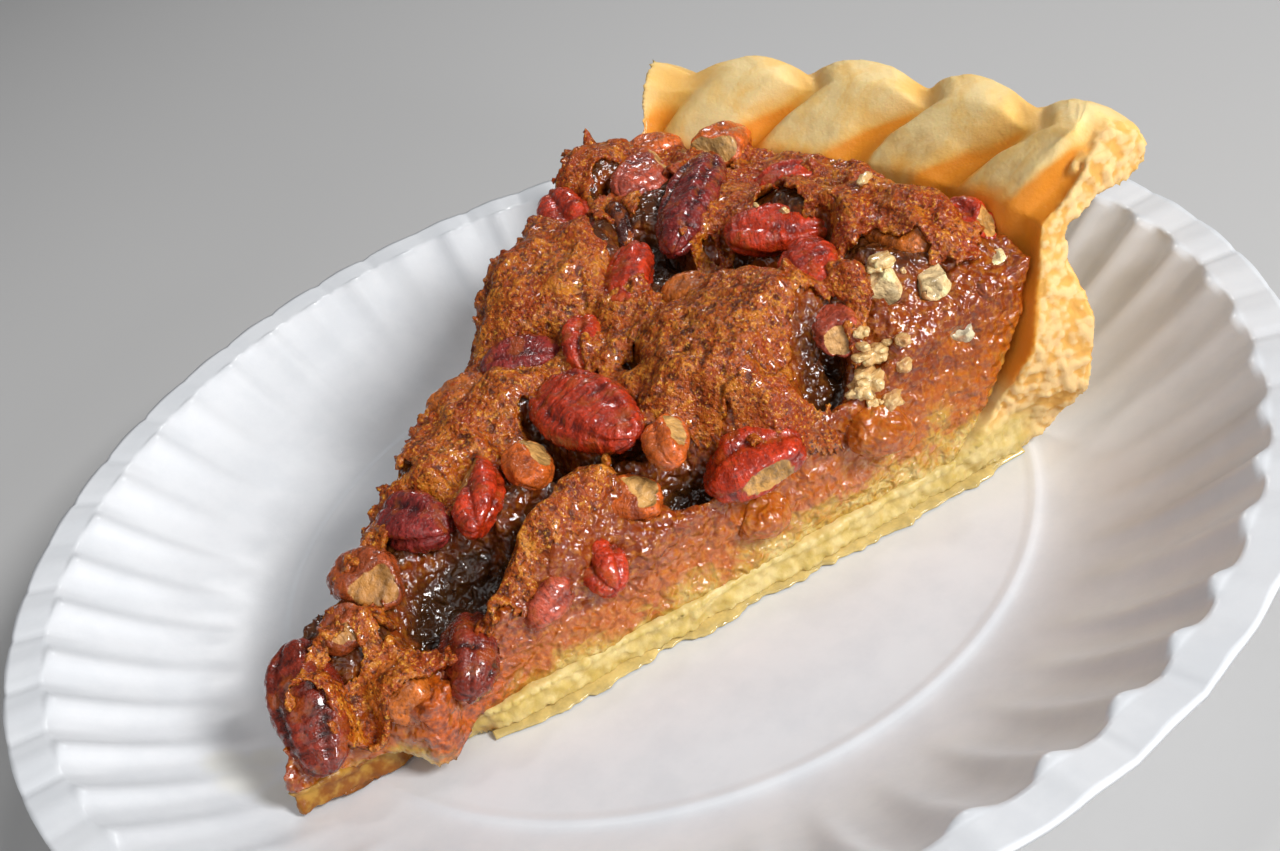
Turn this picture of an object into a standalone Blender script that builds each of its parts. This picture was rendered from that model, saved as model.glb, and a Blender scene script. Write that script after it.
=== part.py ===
"""A slice of pecan pie lying on a fluted paper plate.

Metres, +Z up. The origin is under the middle of the plate, and +Y runs from the slice's point
to its crust. The slice is a wedge turned about its point: s is the distance from that point,
and v runs across the wedge from -1 at the left cut to 1 at the right cut.
"""

import math

import bmesh
import bpy
import numpy as np
from mathutils import Matrix, Vector, noise

MM = 0.001
GAP = 0.3 * MM
SEED = 11

# Paper plate
PLATE_RADIUS = 76.2 * MM
PLATE_FOOT_RADIUS = 48.0 * MM
PLATE_WALL_RADIUS = 71.5 * MM
PLATE_WALL_HEIGHT = 14.0 * MM
PLATE_LIP_RISE = 0.5 * MM
PLATE_WALL_CURVE = 1.6
PAPER = 0.6 * MM
FLUTES = 52
FLUTE_DEPTH = 1.0 * MM
FLUTE_START = 53.0 * MM
PLATE_RINGS = (48.0, 53.0, 59.0, 65.0, 71.5, 76.2)

# Wedge
POINT = Vector((4.5 * MM, -56.9 * MM))
HALF_ANGLE = math.radians(19.25)
BLUNT = 1.0 * MM
TIP_LEAN = 2.8 * MM
TIP_LEAN_AT = 8.0 * MM
TIP_LEAN_SPREAD = 6.0 * MM
STATIONS = [BLUNT + place * 7.5 * MM for place in range(13)]

# Crust, as distance from the point and height over the plate, in mm
CRUST_STEPS = 32
CRUST_FLOOR = 3.2
CRUST_FLOOR_ENDS = 84.1
OUTER_WALL = ((93.5, 0.0), (97.6, 2.0), (100.6, 8.0), (102.0, 16.0), (101.6, 22.0), (102.4, 26.2))
RIM = ((106.5, 28.4), (111.6, 29.0), (113.9, 31.4), (113.4, 35.0), (109.6, 37.4), (105.8, 36.0),
       (102.4, 33.0))
INNER_WALL = ((98.8, 29.0), (97.0, 22.0), (94.2, 15.0), (90.4, 8.6), (87.2, 4.6))
WALL_FROM = 90.0
RIM_FROM = 99.0
RIM_EDGE = 113.0
RIM_BUMP = 0.6 * MM
RIM_BUMP_SIZE = 9.0

# Crimps pressed into the rim, as angles from the middle of the slice
CRIMP_VALLEYS = (-25.0, -15.9, -7.9, 2.1, 11.1, 20.4)
CRIMP_DEPTH = 3.0 * MM
CRIMP_SCALLOP = 1.6 * MM
CRIMP_SCALLOP_FROM = 104.0
CRIMP_LEAN = 0.2
CRIMP_FOOT = 27.5 * MM
CRIMP_FULL = 33.0 * MM

# Torn right end of the outer wall, which stands past the cut
TORN_REACH = 3.6 * MM
TORN_LOW = 1.0 * MM
TORN_HIGH = 24.0 * MM
TORN_FADE = 5.0 * MM

# Unevenness of both cut edges of the crust, over the outermost share of its width
EDGE_SHARE = 0.04
RAGGED = 0.7 * MM
RAGGED_SIZE = 3.5

# Bite out of the crust's right edge under the hanging flap, in mm
NOTCH_AT = 16.6
NOTCH_HALF_WIDTH = 7.0
NOTCH_DEPTH = 3.4

# Filling, in mm: custard and topping heights along the slice
FILLING_STATIONS = 40
FILLING_ACROSS = 24
FILLING_ROWS = 3
COLUMN_WIDTH = 2.5 * MM
CUSTARD_TOP = ((0, 8.0), (10, 8.6), (20, 9.4), (40, 12.0), (60, 15.0), (80, 19.5), (97, 24.0))
TOPPING_TOP = ((0, 9.0), (6, 12.5), (15, 16.0), (25, 18.5), (45, 21.5), (55, 23.5), (65, 26.5),
               (75, 28.5), (86, 29.5), (98, 28.0))
CUT_SHOULDER = 9.0
CUT_SHOULDER_START = 0.25
BACK_LEFT_RISE = 2.5
BACK_LEFT_FROM = 45.0
CRAG = 1.1
CRAG_SIZE = 5.0
FACE_SHARE = 0.07
FACE_SWELL = 0.9
FACE_SWELL_SIZE = 6.0
FACE_INSET = 0.3
LEFT_OVERHANG = 2.2

# Sheets of browned skin: x, y, half length, half width, heading, rise, in mm and degrees
SHEETS = (
    (14.0, 8.0, 12.0, 8.5, 40.0, 2.6),
    (-12.0, 5.0, 12.0, 7.5, 70.0, 2.2),
    (-27.0, 29.0, 11.0, 8.0, 120.0, 2.4),
    (-6.5, -18.0, 15.0, 7.5, 80.0, 2.4),
    (19.5, 1.0, 10.0, 4.5, 30.0, 2.4),
    (12.8, -22.0, 16.0, 3.4, 85.0, 3.2),
    (15.5, 30.5, 16.0, 4.5, 15.0, 2.6),
    (-0.5, -46.0, 8.0, 5.0, 70.0, 1.4),
)

# Openings in the skin, down to the dark custard, in the same terms
HOLLOWS = (
    (0.3, 17.0, 8.0, 4.5, 30.0, 5.0),
    (12.4, 20.5, 10.0, 4.0, 20.0, 5.5),
    (24.4, 12.0, 8.0, 4.5, 60.0, 4.0),
    (3.6, -13.0, 8.0, 4.0, 20.0, 4.5),
    (18.5, -5.0, 9.0, 4.2, 50.0, 3.5),
    (6.5, -31.0, 10.0, 5.5, 70.0, 4.5),
    (11.0, -11.0, 7.0, 4.5, 80.0, 3.0),
)

# Skin flap that hangs over the right cut near the point, in mm
FLAP_AT = 16.8
FLAP_HALF_WIDTH = 4.0
FLAP_REACH = 2.6
FLAP_FOOT = 1.6

# Pecan pieces: x, y, z, length, width, thickness, heading, pitch, roll, cut faces (mm, degrees)
PECANS = (
    (1.6, -48.9, 12.2, 14.0, 8.0, 7.0, -30, 38, 15, 0),
    (-1.5, -35.9, 18.0, 9.5, 7.0, 5.5, 20, 5, 20, 1),
    (1.0, -41.4, 16.8, 6.5, 5.0, 5.0, 75, -10, 10, 1),
    (7.4, -41.4, 10.8, 8.5, 6.0, 6.0, -10, 20, 30, 1),
    (10.6, -34.0, 10.8, 9.5, 7.0, 7.0, -40, 10, 40, 0),
    (-2.0, -28.2, 19.8, 9.5, 7.0, 6.0, 10, 0, 20, 0),
    (6.0, -7.6, 23.2, 16.2, 9.4, 6.3, -6, 0, 12, 0),
    (17.3, -6.6, 22.6, 6.6, 4.8, 4.4, -32, 10, 20, 1),
    (2.2, -22.4, 20.8, 12.5, 6.4, 5.5, -32, 5, 10, 1),
    (3.8, -15.7, 21.3, 8.0, 5.5, 5.0, -30, 12, 10, 1),
    (15.5, -11.7, 17.8, 7.8, 4.8, 4.6, 25, 5, 30, 1),
    (15.9, -18.3, 13.8, 7.0, 5.2, 5.2, -20, 15, 40, 0),
    (13.7, -24.6, 13.2, 7.4, 5.2, 5.2, -77, 15, 25, 0),
    (-8.8, -4.2, 24.2, 9.5, 6.5, 5.5, 50, 0, 10, 0),
    (-2.6, 0.6, 25.4, 8.0, 5.0, 5.0, -45, 20, 0, 0),
    (-16.4, 28.4, 31.0, 13.5, 8.0, 6.0, 100, 5, 15, 1),
    (-5.4, 24.8, 30.4, 19.0, 8.0, 6.5, -62, 8, 20, 0),
    (-11.4, 37.2, 31.2, 8.5, 7.0, 6.0, 85, 0, 10, 1),
    (2.2, 34.6, 29.8, 8.0, 5.5, 4.5, 35, 0, 10, 0),
    (8.2, 25.0, 29.4, 12.0, 7.5, 5.0, 40, 5, 15, 0),
    (-21.4, 17.0, 30.0, 10.5, 6.5, 5.5, -20, 10, 20, 0),
    (-12.6, 18.0, 28.6, 10.0, 6.0, 3.0, -35, 30, 60, 0),
    (-3.2, 10.4, 28.2, 12.5, 6.0, 5.5, -55, 12, 20, 0),
    (4.8, 12.6, 26.4, 7.0, 6.0, 5.5, 38, 0, 0, 1),
    (-22.4, 34.6, 30.4, 8.0, 5.5, 4.5, 46, 0, 0, 0),
    (17.2, 20.4, 28.4, 9.0, 6.5, 5.5, -25, 5, 20, 0),
    (22.6, 29.4, 29.0, 10.0, 6.5, 5.5, -14, 5, 20, 0),
    (27.3, 36.0, 27.6, 7.5, 5.5, 5.0, -11, 5, 15, 0),
    (24.4, 22.1, 26.0, 7.8, 6.4, 6.0, -48, 10, 25, 2),
    (31.4, 33.3, 23.6, 6.8, 5.6, 5.0, -34, 20, 20, 2),
    (29.4, 26.2, 26.0, 5.0, 4.5, 4.2, -39, 10, 10, 2),
    (23.5, 15.8, 24.3, 7.2, 5.4, 5.0, -27, 10, 20, 1),
    (31.0, 27.0, 20.0, 5.5, 4.5, 4.2, -48, 20, 30, 2),
    (22.6, -0.6, 17.4, 12.0, 8.0, 6.5, 50, 0, 25, 1),
    (-11.6, -12.4, 23.4, 8.0, 5.5, 4.5, 63, 0, 0, 0),
    (22.9, -1.6, 10.3, 6.4, 4.6, 4.6, 68, 5, 30, 1),
    (29.6, 13.0, 14.6, 7.5, 6.0, 5.0, 60, 5, 30, 1),
    (14.4, 35.0, 29.6, 8.0, 5.0, 4.0, 15, 0, 0, 1),
)
PECAN_SEGMENTS = 8
PECAN_RINGS = 6
PECAN_GROOVE = 0.42
PECAN_GROOVE_WIDTH = 0.3
PECAN_UNDERSIDE = 0.62
PECAN_LUMPS = 0.1
PECAN_LUMP_PITCH = 1.6
PECAN_TAPER = 0.12
PECAN_LIFT = 0.12
PECAN_CUT_AT = 0.62
PECAN_HEIGHT_SHARE = 1.7
POCKET_GAP = 1.35 * GAP


def clear_scene():
    for obj in list(bpy.data.objects):
        bpy.data.objects.remove(obj, do_unlink=True)


def new_collection(name):
    collection = bpy.data.collections.new(name)
    bpy.context.scene.collection.children.link(collection)
    return collection


def finish(name, color, roughness):
    material = bpy.data.materials.new(name)
    material.use_nodes = True
    shader = material.node_tree.nodes["Principled BSDF"]
    shader.inputs["Base Color"].default_value = (*color, 1.0)
    shader.inputs["Roughness"].default_value = roughness
    return material


def object_from_bmesh(bm, name, collection, material=None):
    bmesh.ops.recalc_face_normals(bm, faces=bm.faces)
    if bm.calc_volume(signed=True) < 0:
        bmesh.ops.reverse_faces(bm, faces=bm.faces)
    mesh = bpy.data.meshes.new(name)
    bm.to_mesh(mesh)
    bm.free()
    obj = bpy.data.objects.new(name, mesh)
    collection.objects.link(obj)
    if material is not None:
        mesh.materials.append(material)
    return obj


def smoothstep(value):
    t = min(1.0, max(0.0, value))
    return t * t * (3.0 - 2.0 * t)


def along(pairs, place):
    """Height at a place, read between the named pairs."""
    places, heights = zip(*pairs)
    return float(np.interp(place, places, heights))


def wobble(x, y, z, size, salt):
    """Smooth noise between about -1 and 1 at the given size, in the same unit as the place."""
    return noise.noise(Vector((x / size + salt, y / size, z / size)))


# Plate

def plate_top(radius):
    """Height of the plate's upper face at a distance from its middle."""
    if radius <= PLATE_FOOT_RADIUS:
        return PAPER
    if radius <= PLATE_WALL_RADIUS:
        t = (radius - PLATE_FOOT_RADIUS) / (PLATE_WALL_RADIUS - PLATE_FOOT_RADIUS)
        return PAPER + PLATE_WALL_HEIGHT * t ** PLATE_WALL_CURVE
    t = (radius - PLATE_WALL_RADIUS) / (PLATE_RADIUS - PLATE_WALL_RADIUS)
    return PAPER + PLATE_WALL_HEIGHT + PLATE_LIP_RISE * t


def press_flutes(bm):
    """Press the radial flutes into the wall and lip of the turned plate."""
    for vert in bm.verts:
        radius = math.hypot(vert.co.x, vert.co.y)
        grow = smoothstep((radius - FLUTE_START) / (PLATE_WALL_RADIUS - FLUTE_START))
        if radius > PLATE_WALL_RADIUS + MM:
            grow = 0.3
        wave = math.cos(FLUTES * math.atan2(vert.co.y, vert.co.x))
        depth = 0.5 * FLUTE_DEPTH * grow * wave
        vert.co.z += 0.7 * depth
        if 0.0 < grow and radius < PLATE_RADIUS - MM:
            vert.co.x *= 1.0 - 0.7 * depth / radius
            vert.co.y *= 1.0 - 0.7 * depth / radius


def make_plate(collection, material):
    bm = bmesh.new()
    rings = [bm.verts.new((0.0, 0.0, PAPER))]
    for radius in PLATE_RINGS:
        rings.append(bm.verts.new((radius * MM, 0.0, plate_top(radius * MM))))
    for inner, outer in zip(rings, rings[1:]):
        bm.edges.new((inner, outer))
    bmesh.ops.spin(bm, geom=bm.verts[:] + bm.edges[:], cent=(0, 0, 0), axis=(0, 0, 1),
                   angle=2 * math.pi, steps=2 * FLUTES, use_merge=True)
    bmesh.ops.remove_doubles(bm, verts=bm.verts, dist=0.00001)
    press_flutes(bm)
    plate = object_from_bmesh(bm, "plate", collection, material)
    if plate.data.polygons[0].normal.z < 0:
        plate.data.flip_normals()
    wall = plate.modifiers.new("Paper", "SOLIDIFY")
    wall.thickness = PAPER
    wall.offset = -1.0
    plate.data.shade_smooth()
    plate.data.set_sharp_from_angle(angle=math.radians(40))
    return plate


# Wedge

def wedge_place(s, angle):
    """Plan position at a distance from the slice's point and an angle from its middle line."""
    lean = TIP_LEAN * math.exp(-((s - TIP_LEAN_AT) / TIP_LEAN_SPREAD) ** 2)
    return POINT.x + s * math.sin(angle) - lean, POINT.y + s * math.cos(angle)


def standing_on(s, angle):
    """Height that the plate lifts the slice's underside to, in straight runs between stations."""
    lifts = []
    for station in STATIONS:
        x, y = wedge_place(station, angle)
        lifts.append(plate_top(math.hypot(x, y)) + GAP)
    return float(np.interp(s, STATIONS, lifts))


def weld_narrow(bm, rows, columns):
    """Weld the columns that crowd together near the point; a row is its distance and its verts."""
    targets = {}
    for s, verts in rows:
        spans = min(columns, max(1, round(2 * s * math.tan(HALF_ANGLE) / COLUMN_WIDTH)))
        kept = [round(place * columns / spans) for place in range(spans + 1)]
        for column, vert in verts.items():
            nearest = min(kept, key=lambda place: abs(place - column))
            if nearest != column and nearest in verts:
                targets[vert] = verts[nearest]
    bmesh.ops.weld_verts(bm, targetmap=targets)


# Crust

def crimp(angle):
    """How far out of its valley a crimp stands at this angle, from 0 to 1, in rounded ropes."""
    degrees = math.degrees(angle)
    for start, end in zip(CRIMP_VALLEYS, CRIMP_VALLEYS[1:]):
        if start <= degrees < end:
            t = (degrees - start) / (end - start)
            return math.sqrt(math.sin(math.pi * t))
    return 0.0


def crust_section():
    """Closed outline of the crust in s and z, from the point along the base, up and back."""
    floor = [station / MM for station in STATIONS if station / MM <= CRUST_FLOOR_ENDS + 0.01]
    outline = [(s, 0.0) for s in floor]
    outline += list(OUTER_WALL)
    outline += list(RIM)
    outline += list(INNER_WALL)
    outline += [(s, CRUST_FLOOR) for s in reversed(floor)]
    return [(s * MM, z * MM) for s, z in outline]


def shape_crust(s, angle, z):
    """Where a point of the turned section really lies, with crimps, wobble and the torn end."""
    pressed = smoothstep((z - CRIMP_FOOT) / (CRIMP_FULL - CRIMP_FOOT))
    lean = CRIMP_LEAN * math.radians(RIM_EDGE - s / MM)
    fall = (1.0 - crimp(angle + lean)) * pressed
    inward = CRIMP_SCALLOP * fall * smoothstep((s / MM - CRIMP_SCALLOP_FROM) / 6.0)
    bump = RIM_BUMP * wobble(s / MM, math.degrees(angle), z / MM, RIM_BUMP_SIZE, 3.0)
    s += bump * smoothstep((s / MM - RIM_FROM) / 3.0) - inward
    z -= CRIMP_DEPTH * fall
    side = 1.0 if angle > 0 else -1.0
    edge = smoothstep(1.0 - (1.0 - abs(angle) / HALF_ANGLE) / EDGE_SHARE)
    ragged = edge * RAGGED * wobble(s / MM, z / MM, side, RAGGED_SIZE, 7.0)
    outer = smoothstep((s / MM - WALL_FROM) / 6.0)
    low = smoothstep((z - TORN_LOW) / TORN_FADE) * smoothstep((TORN_HIGH - z) / TORN_FADE)
    torn = TORN_REACH * edge * outer * low if side > 0 else 0.0
    x, y = wedge_place(s, angle)
    reach = side * ragged + torn
    if side > 0:
        bite = smoothstep(1.0 - abs(s / MM - NOTCH_AT) / NOTCH_HALF_WIDTH)
        reach -= edge * NOTCH_DEPTH * MM * bite
    x += reach * math.cos(angle)
    y -= reach * math.sin(angle)
    return Vector((x, y, z + standing_on(s, angle)))


def make_crust(collection, material):
    bm = bmesh.new()
    ring = [bm.verts.new((POINT.x + s, POINT.y, z)) for s, z in crust_section()]
    for first, second in zip(ring, ring[1:] + ring[:1]):
        bm.edges.new((first, second))
    bmesh.ops.spin(bm, geom=bm.verts[:] + bm.edges[:], cent=(POINT.x, POINT.y, 0), axis=(0, 0, 1),
                   angle=2 * HALF_ANGLE, steps=CRUST_STEPS)
    ends = [edge for edge in bm.edges if edge.is_boundary]
    bmesh.ops.edgenet_fill(bm, edges=ends)
    rows = {}
    for vert in bm.verts:
        flat = vert.co.xy - POINT
        turned = math.atan2(flat.y, flat.x)
        column = round(turned / (2 * HALF_ANGLE) * CRUST_STEPS)
        s = flat.length
        rows.setdefault((round(s / MM, 1), round(vert.co.z / MM, 1)), (s, {}))[1][column] = vert
        vert.co = shape_crust(s, HALF_ANGLE - turned, vert.co.z)
    weld_narrow(bm, rows.values(), CRUST_STEPS)
    bmesh.ops.triangulate(bm, faces=[face for face in bm.faces if len(face.verts) > 4])
    crust = object_from_bmesh(bm, "crust", collection, material)
    crust.data.shade_smooth()
    crust.data.set_sharp_from_angle(angle=math.radians(45))
    return crust


# Filling

def patch(feature, x, y):
    """How far a place lies on a sheet or in a hollow, from 0 outside to 1 on its flat middle."""
    heading = math.radians(feature[4])
    dx = x - feature[0]
    dy = y - feature[1]
    long = (dx * math.cos(heading) + dy * math.sin(heading)) / feature[2]
    wide = (dy * math.cos(heading) - dx * math.sin(heading)) / feature[3]
    return smoothstep(2.6 * (1.0 - math.sqrt(long * long + wide * wide)))


def topping_height(x, y, s, v):
    """Height of the filling's top over the plate at a place, in mm."""
    custard = along(CUSTARD_TOP, s)
    crown = along(TOPPING_TOP, s)
    from_cut = (1.0 - v) * s * math.tan(HALF_ANGLE)
    rise = CUT_SHOULDER_START + (1.0 - CUT_SHOULDER_START) * from_cut / CUT_SHOULDER
    height = custard + (crown - custard) * smoothstep(rise)
    at_back = smoothstep((s - BACK_LEFT_FROM) / 25.0) * smoothstep((97.0 - s) / 8.0)
    height += BACK_LEFT_RISE * smoothstep(-v) * at_back
    height += max(sheet[5] * patch(sheet, x, y) for sheet in SHEETS)
    height -= max(hollow[5] * patch(hollow, x, y) for hollow in HOLLOWS)
    return height + CRAG * wobble(x, y, 0.0, CRAG_SIZE, 1.0)


def wall_distance(z):
    """Distance of the crust's inner wall from the point at a height over the plate, in mm."""
    wall = [(height, s) for s, height in reversed(INNER_WALL)]
    return along([(CRUST_FLOOR, CRUST_FLOOR_ENDS)] + wall, z)


def shape_filling(u, v, w):
    """Map a point of the unit block to the filling: u along, v across and w up."""
    angle = v * HALF_ANGLE
    start = BLUNT / MM
    bottom = CRUST_FLOOR + GAP / MM
    z = bottom + w * (along(TOPPING_TOP, 98.0) - bottom)
    for _ in range(3):
        end = wall_distance(z - 0.8) - 1.3 * GAP / MM
        s = start + u * (end - start)
        x, y = wedge_place(s * MM, angle)
        top = topping_height(x / MM, y / MM, s, v)
        z = bottom + w * (top - bottom)
    face = smoothstep(1.0 - (1.0 - abs(v)) / FACE_SHARE)
    side = 1.0 if v > 0 else -1.0
    reach = face * (FACE_SWELL * wobble(s, z, side, FACE_SWELL_SIZE, 5.0) - FACE_INSET)
    if side < 0:
        between = smoothstep((s - 5.0) / 10.0) * smoothstep((94.0 - s) / 8.0)
        reach += face * w * w * LEFT_OVERHANG * between
    else:
        flap = smoothstep(1.6 * (1.0 - abs(s - FLAP_AT) / FLAP_HALF_WIDTH)) * face
        reach += FLAP_REACH * flap
        z -= (1.0 - w) * flap * (bottom - FLAP_FOOT)
    reach *= smoothstep((96.5 - s) / 3.0)
    x += side * reach * MM * math.cos(angle)
    y -= side * reach * MM * math.sin(angle)
    return Vector((x, y, z * MM + standing_on(s * MM, angle)))


def cut_block(bm, stations, axis):
    """Cut the block across an axis at each station."""
    normal = Vector((0, 0, 0))
    normal[axis] = 1.0
    for place in stations:
        bmesh.ops.bisect_plane(bm, geom=bm.verts[:] + bm.edges[:] + bm.faces[:],
                               plane_co=normal * place, plane_no=normal)


def keep_largest(bm):
    """Drop the scraps that come loose, so that one body stays."""
    left = set(bm.verts)
    bodies = []
    while left:
        front = [left.pop()]
        body = set(front)
        while front:
            vert = front.pop()
            for edge in vert.link_edges:
                other = edge.other_vert(vert)
                if other in left:
                    left.remove(other)
                    body.add(other)
                    front.append(other)
        bodies.append(body)
    bodies.sort(key=len)
    for body in bodies[:-1]:
        bmesh.ops.delete(bm, geom=list(body), context="VERTS")


def drop_folded_slivers(bm):
    """Delete the pairs of flat triangles that share all three corners, back to back."""
    seen = {}
    for face in bm.faces:
        seen.setdefault(frozenset(face.verts), []).append(face)
    folded = [face for faces in seen.values() if len(faces) == 2 for face in faces]
    bmesh.ops.delete(bm, geom=folded, context="FACES")


def filling_block():
    """The block that is mapped to the filling, 1 long, 2 wide and 1 high, cut into small cells."""
    bm = bmesh.new()
    place = Matrix.Translation((0.5, 0.0, 0.5)) @ Matrix.Diagonal((1, 2, 1, 1))
    bmesh.ops.create_cube(bm, size=1.0, matrix=place)
    cut_block(bm, np.linspace(0, 1, FILLING_STATIONS + 1)[1:-1], 0)
    cut_block(bm, np.linspace(-1, 1, FILLING_ACROSS + 1)[1:-1], 1)
    cut_block(bm, np.linspace(0, 1, FILLING_ROWS + 1)[1:-1], 2)
    return bm


def map_filling(bm):
    """Bend the block to the filling's form and thin out its flat under side."""
    under = []
    rows = {}
    for vert in bm.verts:
        u, v, w = vert.co
        if w < 0.01 and 0.01 < u < 0.99 and abs(v) < 0.99:
            under.append(vert)
        place = (round(u * FILLING_STATIONS), round(w * FILLING_ROWS))
        column = round((v + 1.0) / 2 * FILLING_ACROSS)
        rows.setdefault(place, (BLUNT + u * 95 * MM, {}))[1][column] = vert
        vert.co = shape_filling(u, v, w)
    weld_narrow(bm, rows.values(), FILLING_ACROSS)
    under = [vert for vert in under if vert.is_valid]
    bmesh.ops.dissolve_limit(bm, angle_limit=math.radians(4), verts=under,
                             edges=list({edge for vert in under for edge in vert.link_edges}))
    bmesh.ops.triangulate(bm, faces=bm.faces)


def make_filling(collection, cutters, material):
    bm = filling_block()
    map_filling(bm)
    blank = object_from_bmesh(bm, "filling_blank", collection, material)
    pockets = blank.modifiers.new("Pockets", "BOOLEAN")
    pockets.operation = "DIFFERENCE"
    pockets.solver = "MANIFOLD"
    pockets.operand_type = "COLLECTION"
    pockets.collection = cutters
    bpy.context.view_layer.update()
    evaluated = blank.evaluated_get(bpy.context.evaluated_depsgraph_get())
    bm = bmesh.new()
    bm.from_mesh(evaluated.to_mesh())
    keep_largest(bm)
    bmesh.ops.triangulate(bm, faces=bm.faces)
    drop_folded_slivers(bm)
    filling = object_from_bmesh(bm, "filling", collection, material)
    bpy.data.objects.remove(blank, do_unlink=True)
    filling.data.shade_smooth()
    filling.data.set_sharp_from_angle(angle=math.radians(50))
    return filling


# Pecans

def carve_pecan(bm, length, width, thickness, cuts, random):
    """Shape a ball whose poles lie along X into a lobed kernel or a chopped piece of one."""
    planes = []
    for _ in range(cuts):
        heading = random.uniform(-0.5, 0.5) + random.choice((0.0, math.pi))
        rise = random.uniform(-0.2, 0.5)
        planes.append(Vector((math.cos(heading), math.sin(heading), rise)).normalized())
    for vert in bm.verts:
        x, y, z = vert.co
        groove = PECAN_GROOVE * math.exp(-(y / PECAN_GROOVE_WIDTH) ** 2) * (1.0 - 0.4 * x * x)
        z = z * (1.0 - groove) if z > 0 else PECAN_UNDERSIDE * z
        spot = Vector((x, y, z)) * PECAN_LUMP_PITCH + Vector((0.0, 0.0, random.salt))
        grow = 1.0 + PECAN_LUMPS * noise.noise(spot)
        place = Vector((x, y * (1.0 - PECAN_TAPER * x), z + PECAN_LIFT)) * grow
        for plane in planes:
            place -= plane * max(0.0, place.dot(plane) - PECAN_CUT_AT)
        place.z *= 2.0 / PECAN_HEIGHT_SHARE
        vert.co = Vector((place.x * length, place.y * width, place.z * thickness)) * MM / 2


class Draw:
    """Seeded random numbers for one pecan piece."""

    def __init__(self, seed):
        self.numbers = np.random.default_rng(seed)
        self.salt = self.numbers.uniform(0, 50)

    def uniform(self, low, high):
        return self.numbers.uniform(low, high)

    def choice(self, options):
        return options[int(self.numbers.integers(len(options)))]


def make_pecan(index, row, collection, cutters, material):
    x, y, z, length, width, thickness, heading, pitch, roll, cuts = row
    bm = bmesh.new()
    upright = Matrix.Rotation(math.radians(90), 4, "Y")
    bmesh.ops.create_uvsphere(bm, u_segments=PECAN_SEGMENTS, v_segments=PECAN_RINGS, radius=1.0,
                              matrix=upright)
    carve_pecan(bm, length, width, thickness, cuts, Draw(SEED + index))
    turn = (Matrix.Translation(Vector((x, y, z)) * MM) @ Matrix.Rotation(math.radians(heading), 4, "Z")
            @ Matrix.Rotation(math.radians(pitch), 4, "Y") @ Matrix.Rotation(math.radians(roll), 4, "X"))
    bmesh.ops.transform(bm, matrix=turn, verts=bm.verts)
    bmesh.ops.recalc_face_normals(bm, faces=bm.faces)
    wider = bm.copy()
    for vert in wider.verts:
        vert.co += vert.normal * POCKET_GAP
    name = f"pecan_{index + 1:02d}"
    pecan = object_from_bmesh(bm, name, collection, material)
    pecan.data.shade_smooth()
    cutter = object_from_bmesh(wider, name + "_pocket", cutters)
    cutter.hide_render = True
    cutter.display_type = "WIRE"
    return pecan


def main():
    clear_scene()
    slice_parts = new_collection("pecan pie slice")
    cutters = new_collection("pecan pockets")
    paper = finish("Coated paper", (0.78, 0.80, 0.84), 0.45)
    pastry = finish("Baked pastry", (0.83, 0.60, 0.27), 0.5)
    custard = finish("Custard and browned skin", (0.33, 0.11, 0.025), 0.3)
    kernel = finish("Toasted pecan", (0.26, 0.035, 0.015), 0.35)
    make_plate(slice_parts, paper)
    make_crust(slice_parts, pastry)
    for index, row in enumerate(PECANS):
        make_pecan(index, row, slice_parts, cutters, kernel)
    make_filling(slice_parts, cutters, custard)


main()
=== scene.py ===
"""A slice of pecan pie on a fluted paper plate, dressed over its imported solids.

The frame is in metres, +Z up, with its origin under the middle of the plate. Sizes and places in
the classes are millimetres, because the pieces are small, and MM turns them into metres. A place
on the slice is also given as s, its distance from the slice's point, and v, its place across the
slice from -1 at the left cut to 1 at the right cut.
"""

import logging
import math
from dataclasses import dataclass
from enum import Enum

import bpy
import numpy as np
from mathutils import Matrix, Vector
from mathutils.bvhtree import BVHTree


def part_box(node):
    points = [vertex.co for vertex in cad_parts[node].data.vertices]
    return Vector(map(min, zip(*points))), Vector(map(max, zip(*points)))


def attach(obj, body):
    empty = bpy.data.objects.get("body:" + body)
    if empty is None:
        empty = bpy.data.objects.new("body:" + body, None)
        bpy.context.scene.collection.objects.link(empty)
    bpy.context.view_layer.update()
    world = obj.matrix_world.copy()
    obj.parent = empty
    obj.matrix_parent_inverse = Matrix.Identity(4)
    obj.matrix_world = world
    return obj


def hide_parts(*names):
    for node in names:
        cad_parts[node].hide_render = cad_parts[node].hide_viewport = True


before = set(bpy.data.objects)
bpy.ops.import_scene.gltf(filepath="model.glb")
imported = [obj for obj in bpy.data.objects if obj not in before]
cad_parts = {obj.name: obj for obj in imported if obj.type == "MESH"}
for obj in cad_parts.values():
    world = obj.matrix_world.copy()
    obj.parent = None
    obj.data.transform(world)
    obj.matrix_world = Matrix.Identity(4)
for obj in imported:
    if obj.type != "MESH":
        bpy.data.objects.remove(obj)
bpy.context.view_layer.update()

LOG = logging.getLogger("pecan pie")
MM = 0.001
BODY = "root"

Color = tuple[float, float, float]
Socket = bpy.types.NodeSocket

# The slice's point on the plate, and half of the angle between its cuts
POINT = (4.5, -56.9)
HALF_ANGLE = math.radians(19.25)

# Odd numbers that stir a cell's place and a pattern's number into one random number
CELL_KEYS = (73856093, 19349663, 83492791)
SALT_KEY = 2654435
STIRS = (1274126177, 2246822519)

# How much weaker each finer layer of noise is, and how far its pattern's number moves on
LAYER_FADE = 0.55
LAYER_SALT = 7


# Shared arithmetic

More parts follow.
